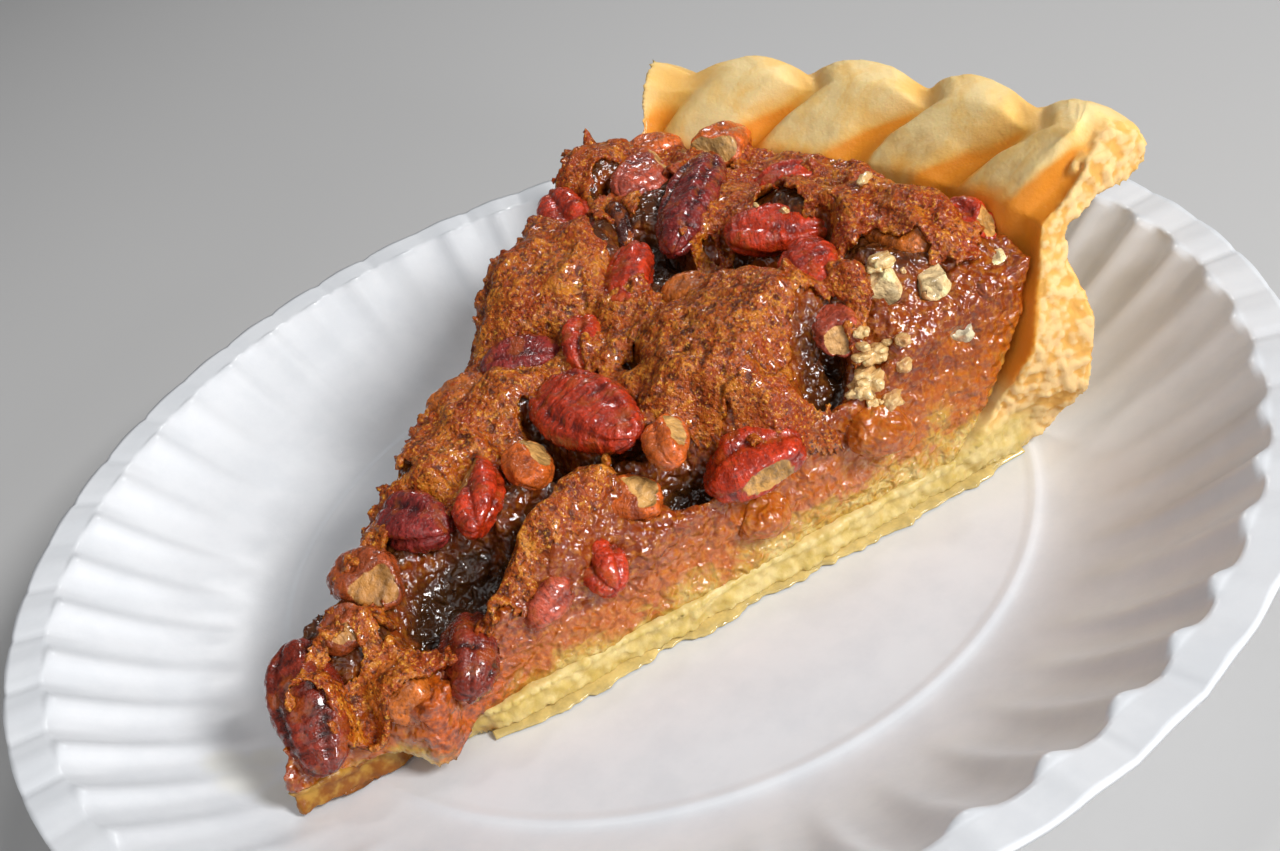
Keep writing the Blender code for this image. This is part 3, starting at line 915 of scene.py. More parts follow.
@dataclass
class PaperPlate:
    """The fluted paper plate, at its real size in mm."""

    radius: float = 76.2
    foot: float = 48.0
    wall_top: float = 71.5
    wall_height: float = 14.0
    lip_rise: float = 0.5
    wall_curve: float = 1.6
    paper: float = 0.6
    flutes: int = 52
    flute_depth: float = 1.15
    flute_start: float = 51.0
    steps_per_flute: int = 13
    flute_strength: float = 0.85
    flute_unevenness: float = 0.3
    flute_wander: float = 0.35
    flute_sharpness: float = 0.25
    flute_on_lip: float = 0.25
    flute_lean: float = 0.7
    unevenness_round: float = 9.0
    crease_depth: float = 0.32
    crease_width: float = 0.16
    crease_start: float = 66.0
    foot_groove: float = 0.25
    groove_radius: float = 47.4
    groove_width: float = 0.7
    lip_rings: int = 9
    wall_rings: int = 32
    bend_rings: tuple[float, ...] = (0.4, 0.0, -0.4, -0.8, -1.3, -2.0)
    floor_rings: tuple[float, ...] = (42.0, 36.0, 29.0, 22.0, 15.0, 8.0, 2.0)
    grease_strength: float = 0.5
    grease_places: tuple[tuple[float, float, float], ...] = (
        (-6.3, -57.0, 4.0), (-9.9, -56.9, 3.5), (-8.8, -53.7, 3.0), (-1.9, -55.0, 3.5))

    def rings(self) -> list[float]:
        """Radii of the rings from the edge inwards, close together where the shape turns.

        Returns:
            The radii in mm.
        """
        lip = list(np.linspace(self.radius, self.wall_top + 0.4, self.lip_rings))
        wall = list(np.linspace(self.wall_top, self.foot + 1.0, self.wall_rings))
        bend = [self.foot + step for step in self.bend_rings]
        return lip + wall + bend + list(self.floor_rings)

    def build(self) -> bpy.types.Object:
        """Model the plate from its outer circle inwards, ring by ring.

        Returns:
            The finished piece.
        """
        clear_selection()
        rings = self.rings()
        bpy.ops.mesh.primitive_circle_add(vertices=self.flutes * self.steps_per_flute,
                                          radius=rings[0] * MM, fill_type="NOTHING")
        plate = added("paper_plate")
        bpy.ops.object.mode_set(mode="EDIT")
        bpy.ops.mesh.select_all(action="SELECT")
        for outer, inner in zip(rings, rings[1:]):
            bpy.ops.mesh.extrude_region_move()
            bpy.ops.transform.resize(value=(inner / outer, inner / outer, 1.0), center_override=(0, 0, 0))
        bpy.ops.mesh.extrude_region_move()
        bpy.ops.mesh.merge(type="CENTER")
        bpy.ops.mesh.select_all(action="SELECT")
        bpy.ops.mesh.normals_make_consistent(inside=False)
        bpy.ops.object.mode_set(mode="OBJECT")
        if plate.data.polygons[0].normal.z < 0:
            plate.data.flip_normals()
        put(plate, self.pressed(places_of(plate)))
        apply(plate, "SOLIDIFY", thickness=self.paper * MM, offset=-1.0)
        note(plate, "grease", self.grease(places_of(plate)))
        dress(plate, PaperFinish().make(), ("plate",))
        return plate

    def pressed(self, places: np.ndarray) -> np.ndarray:
        """Press the wall, the flutes and the creases of the lip into a flat disc.

        Args:
            places: Points of the flat disc in mm.

        Returns:
            The pressed points.
        """
        radius = np.hypot(places[:, 0], places[:, 1])
        angle = np.arctan2(places[:, 1], places[:, 0])
        up_wall = np.clip((radius - self.foot) / (self.wall_top - self.foot), 0.0, 1.0)
        height = self.paper + self.wall_height * up_wall ** self.wall_curve
        out_on_lip = (radius - self.wall_top) / (self.radius - self.wall_top)
        height += self.lip_rise * np.clip(out_on_lip, 0.0, 1.0)
        around = self.unevenness_round * np.stack([np.cos(angle), np.sin(angle), 0.0 * angle], axis=1)
        phase = self.flutes * angle + self.flute_wander * swell(around, 1.3, 4)
        strength = self.flute_strength + self.flute_unevenness * swell(around, 1.1, 9)
        wave = np.cos(phase) + self.flute_sharpness * np.cos(2.0 * phase)
        grow = ease((radius - self.flute_start) / (self.wall_top - self.flute_start))
        on_lip = radius > self.wall_top + 0.2
        depth = 0.5 * self.flute_depth * strength * wave * np.where(on_lip, self.flute_on_lip, grow)
        from_valley = np.abs(((phase / math.pi) % 2.0) - 1.0)
        crease = np.exp(-(from_valley / self.crease_width) ** 2) * ease((radius - self.crease_start) / 5.0)
        height += self.flute_lean * depth
        height -= self.crease_depth * crease * (0.6 + 0.6 * swell(around, 0.5, 12))
        height += self.foot_groove * np.exp(-((radius - self.groove_radius) / self.groove_width) ** 2)
        inward = self.flute_lean * depth / np.maximum(radius, 1.0)
        inward = np.where(radius < self.radius - 0.5, inward, 0.0)
        inward *= ease((radius - self.flute_start) / 5.0)
        scale = 1.0 - inward
        return np.stack([places[:, 0] * scale, places[:, 1] * scale, height], axis=1)

    def grease(self, places: np.ndarray) -> np.ndarray:
        """Faint stain round the slice's point, from 0 to 1.

        Args:
            places: Points in mm, one row each.

        Returns:
            One number for each point.
        """
        stain = np.zeros(len(places))
        ragged = 1.0 + 0.35 * rough(places, 3.0, 2, 5)
        for x, y, reach in self.grease_places:
            away = np.hypot(places[:, 0] - x, places[:, 1] - y)
            stain = np.maximum(stain, ease(1.6 * (1.0 - away * ragged / reach)))
        return self.grease_strength * stain


@dataclass
class BakedCrust:
    """The pastry: base, side wall and rope-crimped rim, with its torn and cut edges, in mm.

    slant is how far the ropes turn, in degrees, at the distances from the point that slant_at gives,
    and valleys are the headings in degrees of the crimps between the ropes.
    """

    grain: float = 0.40
    rim_starts: float = 22.0
    puff: float = 0.16
    blister: float = 0.07
    crumb_depth: float = 0.34
    torn_swell: float = 0.55
    torn_lip: float = 0.7
    torn_depth: float = 2.2
    wet_top: float = 8.5
    wet_ends: float = 97.0
    wet_swell: float = 0.26
    wet_pits: float = 0.10
    wet_bulge: float = 0.9
    tip_ends: float = 26.0
    tip_swell: float = 0.7
    tip_pits: float = 0.3
    steeped_ends: float = 24.0
    glaze_reach: float = 101.0
    glaze_in_valley: float = 5.6
    glaze_top: float = 37.2
    inset: float = 0.05
    slant_at: tuple[float, ...] = (94.0, 98.0, 100.0, 102.5, 104.0, 106.0, 109.0, 112.5)
    slant: tuple[float, ...] = (0.0, 1.2, 1.5, 2.3, 3.2, 4.2, 2.6, 0.0)
    rope_depth: float = 0.95
    rope_swell: float = 0.35
    valleys: tuple[float, ...] = (-25.0, -15.9, -7.9, 2.1, 11.1, 20.4)
    lean: float = 0.2

    def build(self) -> bpy.types.Object:
        """Model the pastry over its solid.

        Returns:
            The finished piece.
        """
        crust = merged_copy("crust", "baked_crust")
        apply(crust, "REMESH", mode="VOXEL", voxel_size=self.grain * MM)
        apply(crust, "SMOOTH", factor=0.5, iterations=4)
        places = places_of(crust)
        normals = normals_of(crust)
        s, v = wedge(places)
        torn = self.torn(places, normals, s, v)
        valley = self.valley(places, s, v)
        glaze = self.glaze(places, s, v, valley) * (1.0 - torn)
        wet = ease((self.wet_top - places[:, 2]) / 3.0) * ease((self.wet_ends - s) / 5.0)
        steeped = wet * ease((self.steeped_ends - s + 9.0 * rough(places, 3.0, 2, 11)) / 7.0)
        relief = self.relief(places, torn)
        lift = self.puff * rough(places, 3.2, 3, 21) + self.blister * relief * (1.0 - torn)
        lift += torn * (self.crumb_depth * relief + self.torn_swell * rough(places, 2.6, 3, 41))
        lift += self.torn_lip * ease(4.0 * torn * (1.0 - torn)) * rough(places, 1.0, 2, 43)
        lift *= 1.0 - 0.8 * glaze
        inner = ease((110.0 - s) / 4.0) * ease((s - 93.0) / 3.0) * (1.0 - torn)
        lift += inner * (self.rope_swell - self.rope_depth * valley)
        damp = self.wet_swell * rough(places, 3.4, 3, 25) - self.wet_pits * bubbles(places, 1.2, 27)
        lift += wet * damp
        lift += self.wet_bulge * wet * ease((normals[:, 2] - 0.2) / 0.4)
        tip = self.tip_swell * rough(places, 3.0, 3, 29) - self.tip_pits * bubbles(places, 1.6, 33)
        lift += ease((self.tip_ends - s) / 8.0) * tip
        under = (normals[:, 2] < -0.8) & (places[:, 2] < 2.0)
        lift = np.where(under, 0.0, lift) - self.inset
        put(crust, self.twisted(places + normals * lift[:, None]))
        looks = {"torn": torn, "relief": relief, "valley": valley}
        looks |= {"glaze": glaze, "wet": wet, "steeped": steeped}
        for name, values in looks.items():
            note(crust, name, values)
        dress(crust, PastryFinish().make(), ("crust",))
        return crust

    def twisted(self, places: np.ndarray) -> np.ndarray:
        """Lay the ropes of the rim more slanted where they come down to the filling.

        Args:
            places: Points in mm, one row each.

        Returns:
            The turned points.
        """
        s, v = wedge(places)
        degrees = np.interp(s, self.slant_at, self.slant)
        degrees *= ease((places[:, 2] - 20.0) / 7.0) * ease((0.98 - np.abs(v)) / 0.3)
        turn = v * HALF_ANGLE + np.radians(degrees)
        return np.stack([POINT[0] + s * np.sin(turn), POINT[1] + s * np.cos(turn), places[:, 2]], axis=1)

    def torn(self, places: np.ndarray, normals: np.ndarray, s: np.ndarray, v: np.ndarray) -> np.ndarray:
        """How much of the crumb shows at each point, from 0 on the outside to 1 on a break.

        Args:
            places: Points in mm, one row each.
            normals: Outward directions at the points.
            s: Their distances from the slice's point.
            v: Their places across the slice.

        Returns:
            One number for each point.
        """
        angle = v * HALF_ANGLE
        side = np.sign(v)
        across = side * (normals[:, 0] * np.cos(angle) - normals[:, 1] * np.sin(angle))
        at_cut = ease((np.abs(v) - 1.0) * half_width(s) + self.torn_depth)
        ragged = across + 0.25 * rough(places, 2.0, 2, 31)
        return ease((ragged - 0.25) / 0.4) * at_cut

    def valley(self, places: np.ndarray, s: np.ndarray, v: np.ndarray) -> np.ndarray:
        """How deep each point lies between the ropes of the rim, from 0 to 1.

        Args:
            places: Points in mm, one row each.
            s: Their distances from the slice's point.
            v: Their places across the slice.

        Returns:
            One number for each point.
        """
        degrees = np.degrees(v * HALF_ANGLE) + self.lean * (113.0 - s)
        away = np.min([np.abs(degrees - valley) for valley in self.valleys], axis=0)
        return ease(1.0 - away / 2.6) * ease((places[:, 2] - self.rim_starts) / 3.0)

    def glaze(self, places: np.ndarray, s: np.ndarray, v: np.ndarray, valley: np.ndarray) -> np.ndarray:
        """Where syrup ran up between the filling and the rim, from 0 to 1.

        Args:
            places: Points in mm, one row each.
            s: Their distances from the slice's point.
            v: Their places across the slice.
            valley: How deep they lie between the ropes.

        Returns:
            One number for each point.
        """
        reach = self.glaze_reach + self.glaze_in_valley * valley + 1.6 * rough(places, 4.0, 3, 51)
        reach += 3.0 * ease((v - 0.72) / 0.2)
        inside = ease((reach - s) / 3.4) * ease((places[:, 2] - 9.0) / 4.0)
        return 0.9 * inside * ease((self.glaze_top - places[:, 2]) / 2.5)

    def relief(self, places: np.ndarray, torn: np.ndarray) -> np.ndarray:
        """Crumbs on a break, and blisters and fine cracks elsewhere, mostly between -1 and 1.

        Args:
            places: Points in mm, one row each.
            torn: How much of the crumb shows at each.

        Returns:
            One number for each point.
        """
        crumbs = 0.8 - 1.5 * bubbles(places, 1.0, 61) + 0.9 * rough(places, 1.5, 3, 71)
        s, v = wedge(places)
        flow = np.stack([s / 1.6, v * HALF_ANGLE * s, places[:, 2]], axis=1)
        cracks = 1.0 - 2.2 * np.abs(rough(flow, 2.4, 3, 81))
        blisters = 0.8 - 1.6 * bubbles(places, 2.6, 91)
        return np.where(torn > 0.5, crumbs, 0.6 * cracks + 0.4 * blisters)


@dataclass(frozen=True)
class Nut:
    """How one pecan looks.

    Its cuts are given by heading, pitch in degrees and depth share, and shows is the height in mm
    that stands clear of the browned skin, negative where the skin covers it.
    """

    kernel: Kernel
    shows: float = 2.2
    cuts: tuple[tuple[float, float, float], ...] = ()


CHOPPED = (
    (-35.0, 10.0, 0.72),
    (60.0, 15.0, 0.7),
    (145.0, 10.0, 0.72),
    (235.0, 15.0, 0.7),
    (250.0, 75.0, 0.7),
)

NUTS = {
    1: Nut(Kernel.DARK, 1.8),
    2: Nut(Kernel.BROWN, 2.2, ((-35.0, 40.0, 0.6),)),
    3: Nut(Kernel.BROWN, 1.2, ((-20.0, 40.0, 0.7),)),
    4: Nut(Kernel.COATED, 0.6),
    5: Nut(Kernel.DARK, 2.0),
    6: Nut(Kernel.PURPLE, 2.6),
    7: Nut(Kernel.RED, 2.5),
    8: Nut(Kernel.TAN, 1.8, ((40.0, 50.0, 0.7),)),
    9: Nut(Kernel.RED, 3.0, ((215.0, 42.0, 0.40),)),
    10: Nut(Kernel.TAN, 2.6, ((60.0, 50.0, 0.55),)),
    11: Nut(Kernel.TAN, 2.8, ((20.0, 60.0, 0.5),)),
    12: Nut(Kernel.RED, 3.4),
    13: Nut(Kernel.MAUVE, 2.0),
    14: Nut(Kernel.PURPLE, 2.4),
    15: Nut(Kernel.RED, 2.0),
    16: Nut(Kernel.MAUVE, 2.8, ((60.0, 30.0, 0.55),)),
    17: Nut(Kernel.PURPLE, 3.6),
    18: Nut(Kernel.TAN, 2.0, ((-60.0, 30.0, 0.6),)),
    19: Nut(Kernel.RED, 1.6),
    20: Nut(Kernel.RED, 2.4),
    21: Nut(Kernel.RED, 2.4),
    22: Nut(Kernel.BLACK, 3.0),
    23: Nut(Kernel.RED, 2.6),
    24: Nut(Kernel.COATED, 0.8),
    25: Nut(Kernel.TAN, 1.0),
    26: Nut(Kernel.RED, 2.4),
    27: Nut(Kernel.COATED, -0.3),
    28: Nut(Kernel.RED, 1.8, ((20.0, 30.0, 0.7),)),
    29: Nut(Kernel.CREAM, 3.4, CHOPPED),
    30: Nut(Kernel.CREAM, 3.4, CHOPPED),
    31: Nut(Kernel.CREAM, 2.6, CHOPPED),
    32: Nut(Kernel.MAUVE, 2.4, ((-40.0, 10.0, 0.75),)),
    33: Nut(Kernel.PALE, 2.6, CHOPPED),
    34: Nut(Kernel.RED, 2.8, ((-25.0, -8.0, 0.82),)),
    35: Nut(Kernel.COATED, -0.3),
    36: Nut(Kernel.SUNK, 1.6),
    37: Nut(Kernel.SUNK, 1.0),
    38: Nut(Kernel.COATED, 0.8),
}


@dataclass
class Pecans:
    """The pecan pieces, each modelled over its own solid, in mm."""

    levels: int = 3
    large: float = 11.0
    fullness: float = 0.22
    groove: float = 0.38
    wrinkle: float = 0.13
    pimple: float = 0.09
    lump: float = 0.55
    grooves: float = 2.5
    cut_roughness: float = 0.45
    cut_flatness: float = 0.95
    custard_shade: float = 0.5

    def build(self) -> list[bpy.types.Object]:
        """Model every pecan piece.

        Returns:
            The finished pieces.
        """
        finishes = {kernel: KernelFinish(kernel).make() for kernel in Kernel if kernel is not Kernel.SUNK}
        finishes[Kernel.SUNK] = CustardFinish().make()
        pieces = []
        for number, nut in NUTS.items():
            piece = self.piece(number, nut)
            dress(piece, finishes[nut.kernel], (f"pecan_{number:02d}",))
            pieces.append(piece)
        return pieces

    def piece(self, number: int, nut: Nut) -> bpy.types.Object:
        """Model one pecan piece.

        Args:
            number: Number of its solid.
            nut: How it looks.

        Returns:
            The piece, without its finish.
        """
        obj = merged_copy(f"pecan_{number:02d}", f"toasted_pecan_{number:02d}")
        before = places_of(obj)
        size = np.ptp(before, axis=0)
        levels = self.levels + int(size.max() > self.large)
        apply(obj, "SUBSURF", levels=levels, render_levels=levels)
        places = places_of(obj)
        centre = places.mean(axis=0)
        places = centre + (places - centre) * size.mean() / np.ptp(places, axis=0).mean()
        axes = self.axes(places - centre)
        cut = np.zeros(len(places))
        for heading, pitch, depth in nut.cuts:
            places, flat = self.sliced(places, centre, heading, pitch, depth, number)
            cut = np.maximum(cut, flat)
        put(obj, places)
        normals = normals_of(obj)
        local = (places - centre) @ axes
        relief = self.relief(local, number)
        furrows = nut.kernel.furrows
        lift = self.fullness + relief * self.groove * furrows * (1.0 - cut)
        lift += self.lump * (1.3 - furrows) * rough(places, 4.6, 2, 170 + number)
        fold = np.stack([local[:, 0], local[:, 1] / 2.2, local[:, 2] / 2.2], axis=1)
        wrinkle = 1.0 - 2.4 * np.abs(rough(fold, 1.1, 2, 100 + number))
        lift += self.wrinkle * wrinkle * (0.3 + 0.7 * furrows) * (1.0 - 0.7 * cut)
        lift += self.pimple * rough(places, 0.7, 2, 150 + number)
        put(obj, places + normals * lift[:, None])
        # The finish paints this relief: darker in the furrows, partly as shade, and lighter on the ridges
        # as painted light
        note(obj, "relief", 0.6 * relief * furrows + 0.5 * wrinkle + 0.3 * (1.0 - furrows))
        note(obj, "cut", cut)
        note(obj, "ripe", np.full(len(places), self.custard_shade))
        note_places(obj, "own_place", local)
        return obj

    def axes(self, spread: np.ndarray) -> np.ndarray:
        """The piece's own directions, longest first, as columns.

        Args:
            spread: Points of the piece, measured from its middle.

        Returns:
            The directions.
        """
        _, directions = np.linalg.eigh(spread.T @ spread)
        directions = directions[:, ::-1]
        for column in range(3):
            if directions[2, column] < 0:
                directions[:, column] *= -1.0
        return directions

    def sliced(self, places: np.ndarray, centre: np.ndarray, heading: float, pitch: float, depth: float,
               number: int) -> tuple[np.ndarray, np.ndarray]:
        """Press the points beyond a plane back onto it.

        Args:
            places: Points of the piece.
            centre: Middle of the piece.
            heading: Direction that the cut faces, in degrees from +X.
            pitch: How far it faces upwards, in degrees.
            depth: Where the plane lies, as a share of the piece's reach that way.
            number: Number of the piece, for its unevenness.

        Returns:
            The points, and how much of each lies on the cut.
        """
        turn = math.radians(heading)
        rise = math.radians(pitch)
        away = np.array([math.cos(turn) * math.cos(rise), math.sin(turn) * math.cos(rise), math.sin(rise)])
        out = (places - centre) @ away
        plane = depth * out.max() + self.cut_roughness * rough(places, 2.2, 3, 200 + number)
        past = np.maximum(0.0, out - plane)
        return places - self.cut_flatness * past[:, None] * away, ease(past / 0.35)

    def relief(self, local: np.ndarray, number: int) -> np.ndarray:
        """Long furrows of the kernel, from -1 in a furrow to a little over 0 on a lobe.

        Args:
            local: Points along the piece's own directions.
            number: Number of the piece.

        Returns:
            One number for each point.
        """
        half = np.abs(local).max(axis=0)
        along = local[:, 0] / half[0]
        around = np.arctan2(local[:, 2] / half[2], local[:, 1] / half[1])
        warp = 0.5 * rough(local, 3.0, 2, 300 + number) + 0.6 * along
        furrow = np.abs(np.sin(self.grooves * around + warp + number))
        return 0.35 - 1.2 * np.exp(-(furrow / 0.42) ** 2) * (1.0 - 0.5 * along ** 2)


@dataclass(frozen=True)
class Patch:
    """An oval area seen from above, in mm, with its long side's heading in degrees."""

    x: float
    y: float
    long: float
    wide: float
    heading: float
    weight: float = 1.0

    def field(self, places: np.ndarray) -> np.ndarray:
        """How far inside the area each point lies, 0 at its edge and negative outside.

        Args:
            places: Points in mm, one row each.

        Returns:
            One distance in mm for each point.
        """
        turn = math.radians(self.heading)
        dx = places[:, 0] - self.x
        dy = places[:, 1] - self.y
        along = (dx * math.cos(turn) + dy * math.sin(turn)) / self.long
        across = (dy * math.cos(turn) - dx * math.sin(turn)) / self.wide
        return (1.0 - np.sqrt(along ** 2 + across ** 2)) * min(self.long, self.wide)


# Openings in the skin, where the custard lies bare, sunk and painted near black as shade
HOLLOWS = (
    Patch(-6.5, 17.0, 5.5, 3.0, 15.0),
    Patch(2.0, 15.0, 4.0, 2.6, 45.0),
    Patch(8.5, 19.2, 6.0, 2.2, -12.0),
    Patch(13.6, 25.0, 3.2, 2.2, 60.0),
    Patch(23.2, 12.6, 4.2, 2.6, 110.0),
    Patch(-18.0, 24.4, 3.6, 2.2, 85.0),
    Patch(4.4, 22.2, 2.6, 1.8, 20.0),
    Patch(-0.6, -10.8, 2.2, 1.3, -20.0),
    Patch(4.6, -13.2, 4.6, 2.0, -20.0),
    Patch(18.2, -6.2, 4.6, 2.4, 50.0),
    Patch(14.8, -10.6, 3.6, 1.4, 25.0),
    Patch(8.6, -21.4, 5.4, 2.3, 80.0),
    Patch(5.8, -30.6, 7.6, 5.2, 78.0),
    Patch(5.6, 0.6, 2.2, 1.0, -15.0),
    Patch(-9.0, -26.4, 2.0, 1.2, 30.0),
    Patch(21.5, 21.8, 2.4, 1.6, 40.0),
    Patch(-1.5, -39.5, 2.4, 1.4, 60.0),
)

# Sheets of skin, each a little higher or lower than the next
SHEETS = (
    Patch(13.0, 8.0, 11.5, 9.0, 10.0),
    Patch(10.0, -1.5, 9.0, 5.0, 5.0),
    Patch(1.5, 3.0, 5.5, 6.5, 0.0),
    Patch(-12.5, 4.5, 13.0, 8.0, 160.0),
    Patch(-5.0, -2.5, 9.0, 4.0, 160.0),
    Patch(-7.0, -18.5, 12.0, 8.0, 100.0),
    Patch(-3.0, -9.5, 7.0, 3.2, 30.0),
    Patch(-27.0, 29.0, 13.0, 9.5, 120.0),
    Patch(-17.0, 33.0, 9.0, 7.0, 0.0),
    Patch(-19.0, 22.0, 8.0, 4.5, 160.0),
    Patch(18.5, 31.5, 14.0, 5.0, -3.0),
    Patch(16.5, 25.5, 5.0, 5.0, 0.0),
    Patch(-1.0, 28.0, 5.0, 10.0, 10.0),
    Patch(2.0, 37.0, 14.0, 4.5, 0.0),
    Patch(22.5, 17.0, 5.0, 5.5, 30.0),
    Patch(24.8, 4.8, 4.5, 6.5, 15.0),
    Patch(12.6, -21.5, 11.5, 2.6, 83.0),
    Patch(-1.6, -44.0, 8.5, 4.6, 100.0),
    Patch(7.6, -43.0, 6.0, 3.4, 70.0),
)


def deepest(patches: tuple[Patch, ...], places: np.ndarray) -> np.ndarray:
    """How far inside any of several areas each point lies."""
    return np.max([patch.field(places) for patch in patches], axis=0)


@dataclass
class Custard:
    """The filling under its skin, modelled over its solid, in mm.

    Its colour ripens between foot and crown, which are heights at the distances from the slice's
    point that foot_at and crown_at give.

    The flap is the bit of skin that hangs over the right cut, an oval on the cut whose middle lies at
    flap_place, a distance from the slice's point and a height, and whose half sizes are flap_size.
    """

    grain: float = 0.425
    hug: float = 1.1
    sink: float = 3.4
    bite: float = 0.12
    crown_at: tuple[float, ...] = (0.0, 15.0, 40.0, 60.0, 80.0, 97.0)
    crown: tuple[float, ...] = (7.0, 9.5, 13.5, 17.0, 21.5, 26.0)
    foot_at: tuple[float, ...] = (0.0, 80.0, 97.0)
    foot: tuple[float, ...] = (3.5, 4.0, 6.0)
    flap_place: tuple[float, float] = (22.0, 7.5)
    flap_size: tuple[float, float] = (9.5, 11.0)
    face_grain: float = 0.30
    face_swell: float = 0.34
    # Strength of the painted shade in the hollows and on the top away from the right cut
    painted_shade_strength: float = 0.93
    top_shade: float = 0.88
    fewest_points: int = 400

    def build(self, nuts: list[bpy.types.Object]) -> bpy.types.Object:
        """Model the custard so that it holds the pecans without a gap.

        Args:
            nuts: The finished pecans.

        Returns:
            The finished piece.
        """
        custard = merged_copy("filling", "set_custard")
        apply(custard, "REMESH", mode="VOXEL", voxel_size=self.grain * MM)
        apply(custard, "SMOOTH", factor=0.5, iterations=3)
        places = places_of(custard)
        normals = normals_of(custard)
        s, v = wedge(places)
        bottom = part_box("filling")[0].z / MM
        facing_up = ease((normals[:, 2] - 0.1) / 0.4)
        hollow = ease(deepest(HOLLOWS, places) / 1.6 + 0.3) * facing_up
        hollow *= ease((places[:, 2] - bottom - 7.0) / 4.0)
        places[:, 2] -= self.sink * hollow
        places = self.hugged(places, surface_of(nuts))
        put(custard, places)
        apply(custard, "SMOOTH", factor=0.4, iterations=2)
        places = places_of(custard)
        normals = normals_of(custard)
        above = ease((places[:, 2] - bottom - 0.6) / 1.5)
        grain = bubbles(places, 0.95, 5) - 0.55 + 0.5 * rough(places, 1.4, 2, 15)
        lift = self.face_swell * rough(places, 2.8, 3, 25) - self.face_grain * grain
        put(custard, places + normals * (lift * above)[:, None])
        note(custard, "ripe", self.ripe(places, s))
        note(custard, "flap", self.on_flap(places, s, v))
        # Painted shade: the sunk hollows and the top away from the right cut get the near-black colour
        note(custard, "painted_shade", self.painted_shade_strength * np.maximum(hollow, self.shaded(normals, s, v)))
        drop_scraps(custard, self.fewest_points)
        dress(custard, CustardFinish().make(), ("filling",))
        return custard

    def hugged(self, places: np.ndarray, tree: BVHTree) -> np.ndarray:
        """Pull the points beside a pecan against it.

        Args:
            places: Points of the custard.
            tree: Search tree over the pecans.

        Returns:
            The moved points.
        """
        moved = places.copy()
        for index, place in enumerate(places):
            spot, normal, _, away = tree.find_nearest(Vector(place), self.hug)
            if spot is not None:
                pull = ease(1.6 * (1.0 - away / self.hug))
                moved[index] += (np.array(spot - self.bite * normal) - place) * pull
        return moved

    def ripe(self, places: np.ndarray, s: np.ndarray) -> np.ndarray:
        """How far the custard turned from yellow at the base to brown at the top, from 0 to 1.

        Args:
            places: Points in mm, one row each.
            s: Their distances from the slice's point.

        Returns:
            One number for each point.
        """
        crown = np.interp(s, self.crown_at, self.crown)
        above_foot = places[:, 2] - np.interp(s, self.foot_at, self.foot)
        uneven = 0.12 * rough(places, 6.0, 3, 35)
        return np.clip(above_foot / (crown - self.foot[0]) + uneven, 0.0, 1.0)

    def on_flap(self, places: np.ndarray, s: np.ndarray, v: np.ndarray) -> np.ndarray:
        """How much each point belongs to the flap of skin over the right cut, from 0 to 1.

        Args:
            places: Points in mm, one row each.
            s: Their distances from the slice's point.
            v: Their places across the slice.

        Returns:
            One number for each point.
        """
        along = (s - self.flap_place[0]) / self.flap_size[0]
        up = (places[:, 2] - self.flap_place[1]) / self.flap_size[1]
        spread = 1.0 - np.hypot(along, up) + 0.25 * rough(places, 2.0, 3, 65)
        past_cut = (v - 1.0) * half_width(s)
        return ease(1.8 * spread) * ease(past_cut + 1.1)

    def shaded(self, normals: np.ndarray, s: np.ndarray, v: np.ndarray) -> np.ndarray:
        """Painted shade on the bare top away from the right cut, from 0 to 1.

        Args:
            normals: Outward directions at the points.
            s: Their distances from the slice's point.
            v: Their places across the slice.

        Returns:
            One number for each point.
        """
        from_cut = (1.0 - v) * half_width(s)
        top = ease((normals[:, 2] - 0.35) / 0.3)
        return self.top_shade * top * ease((from_cut - 3.0) / 4.0) * ease((s - 6.0) / 6.0)


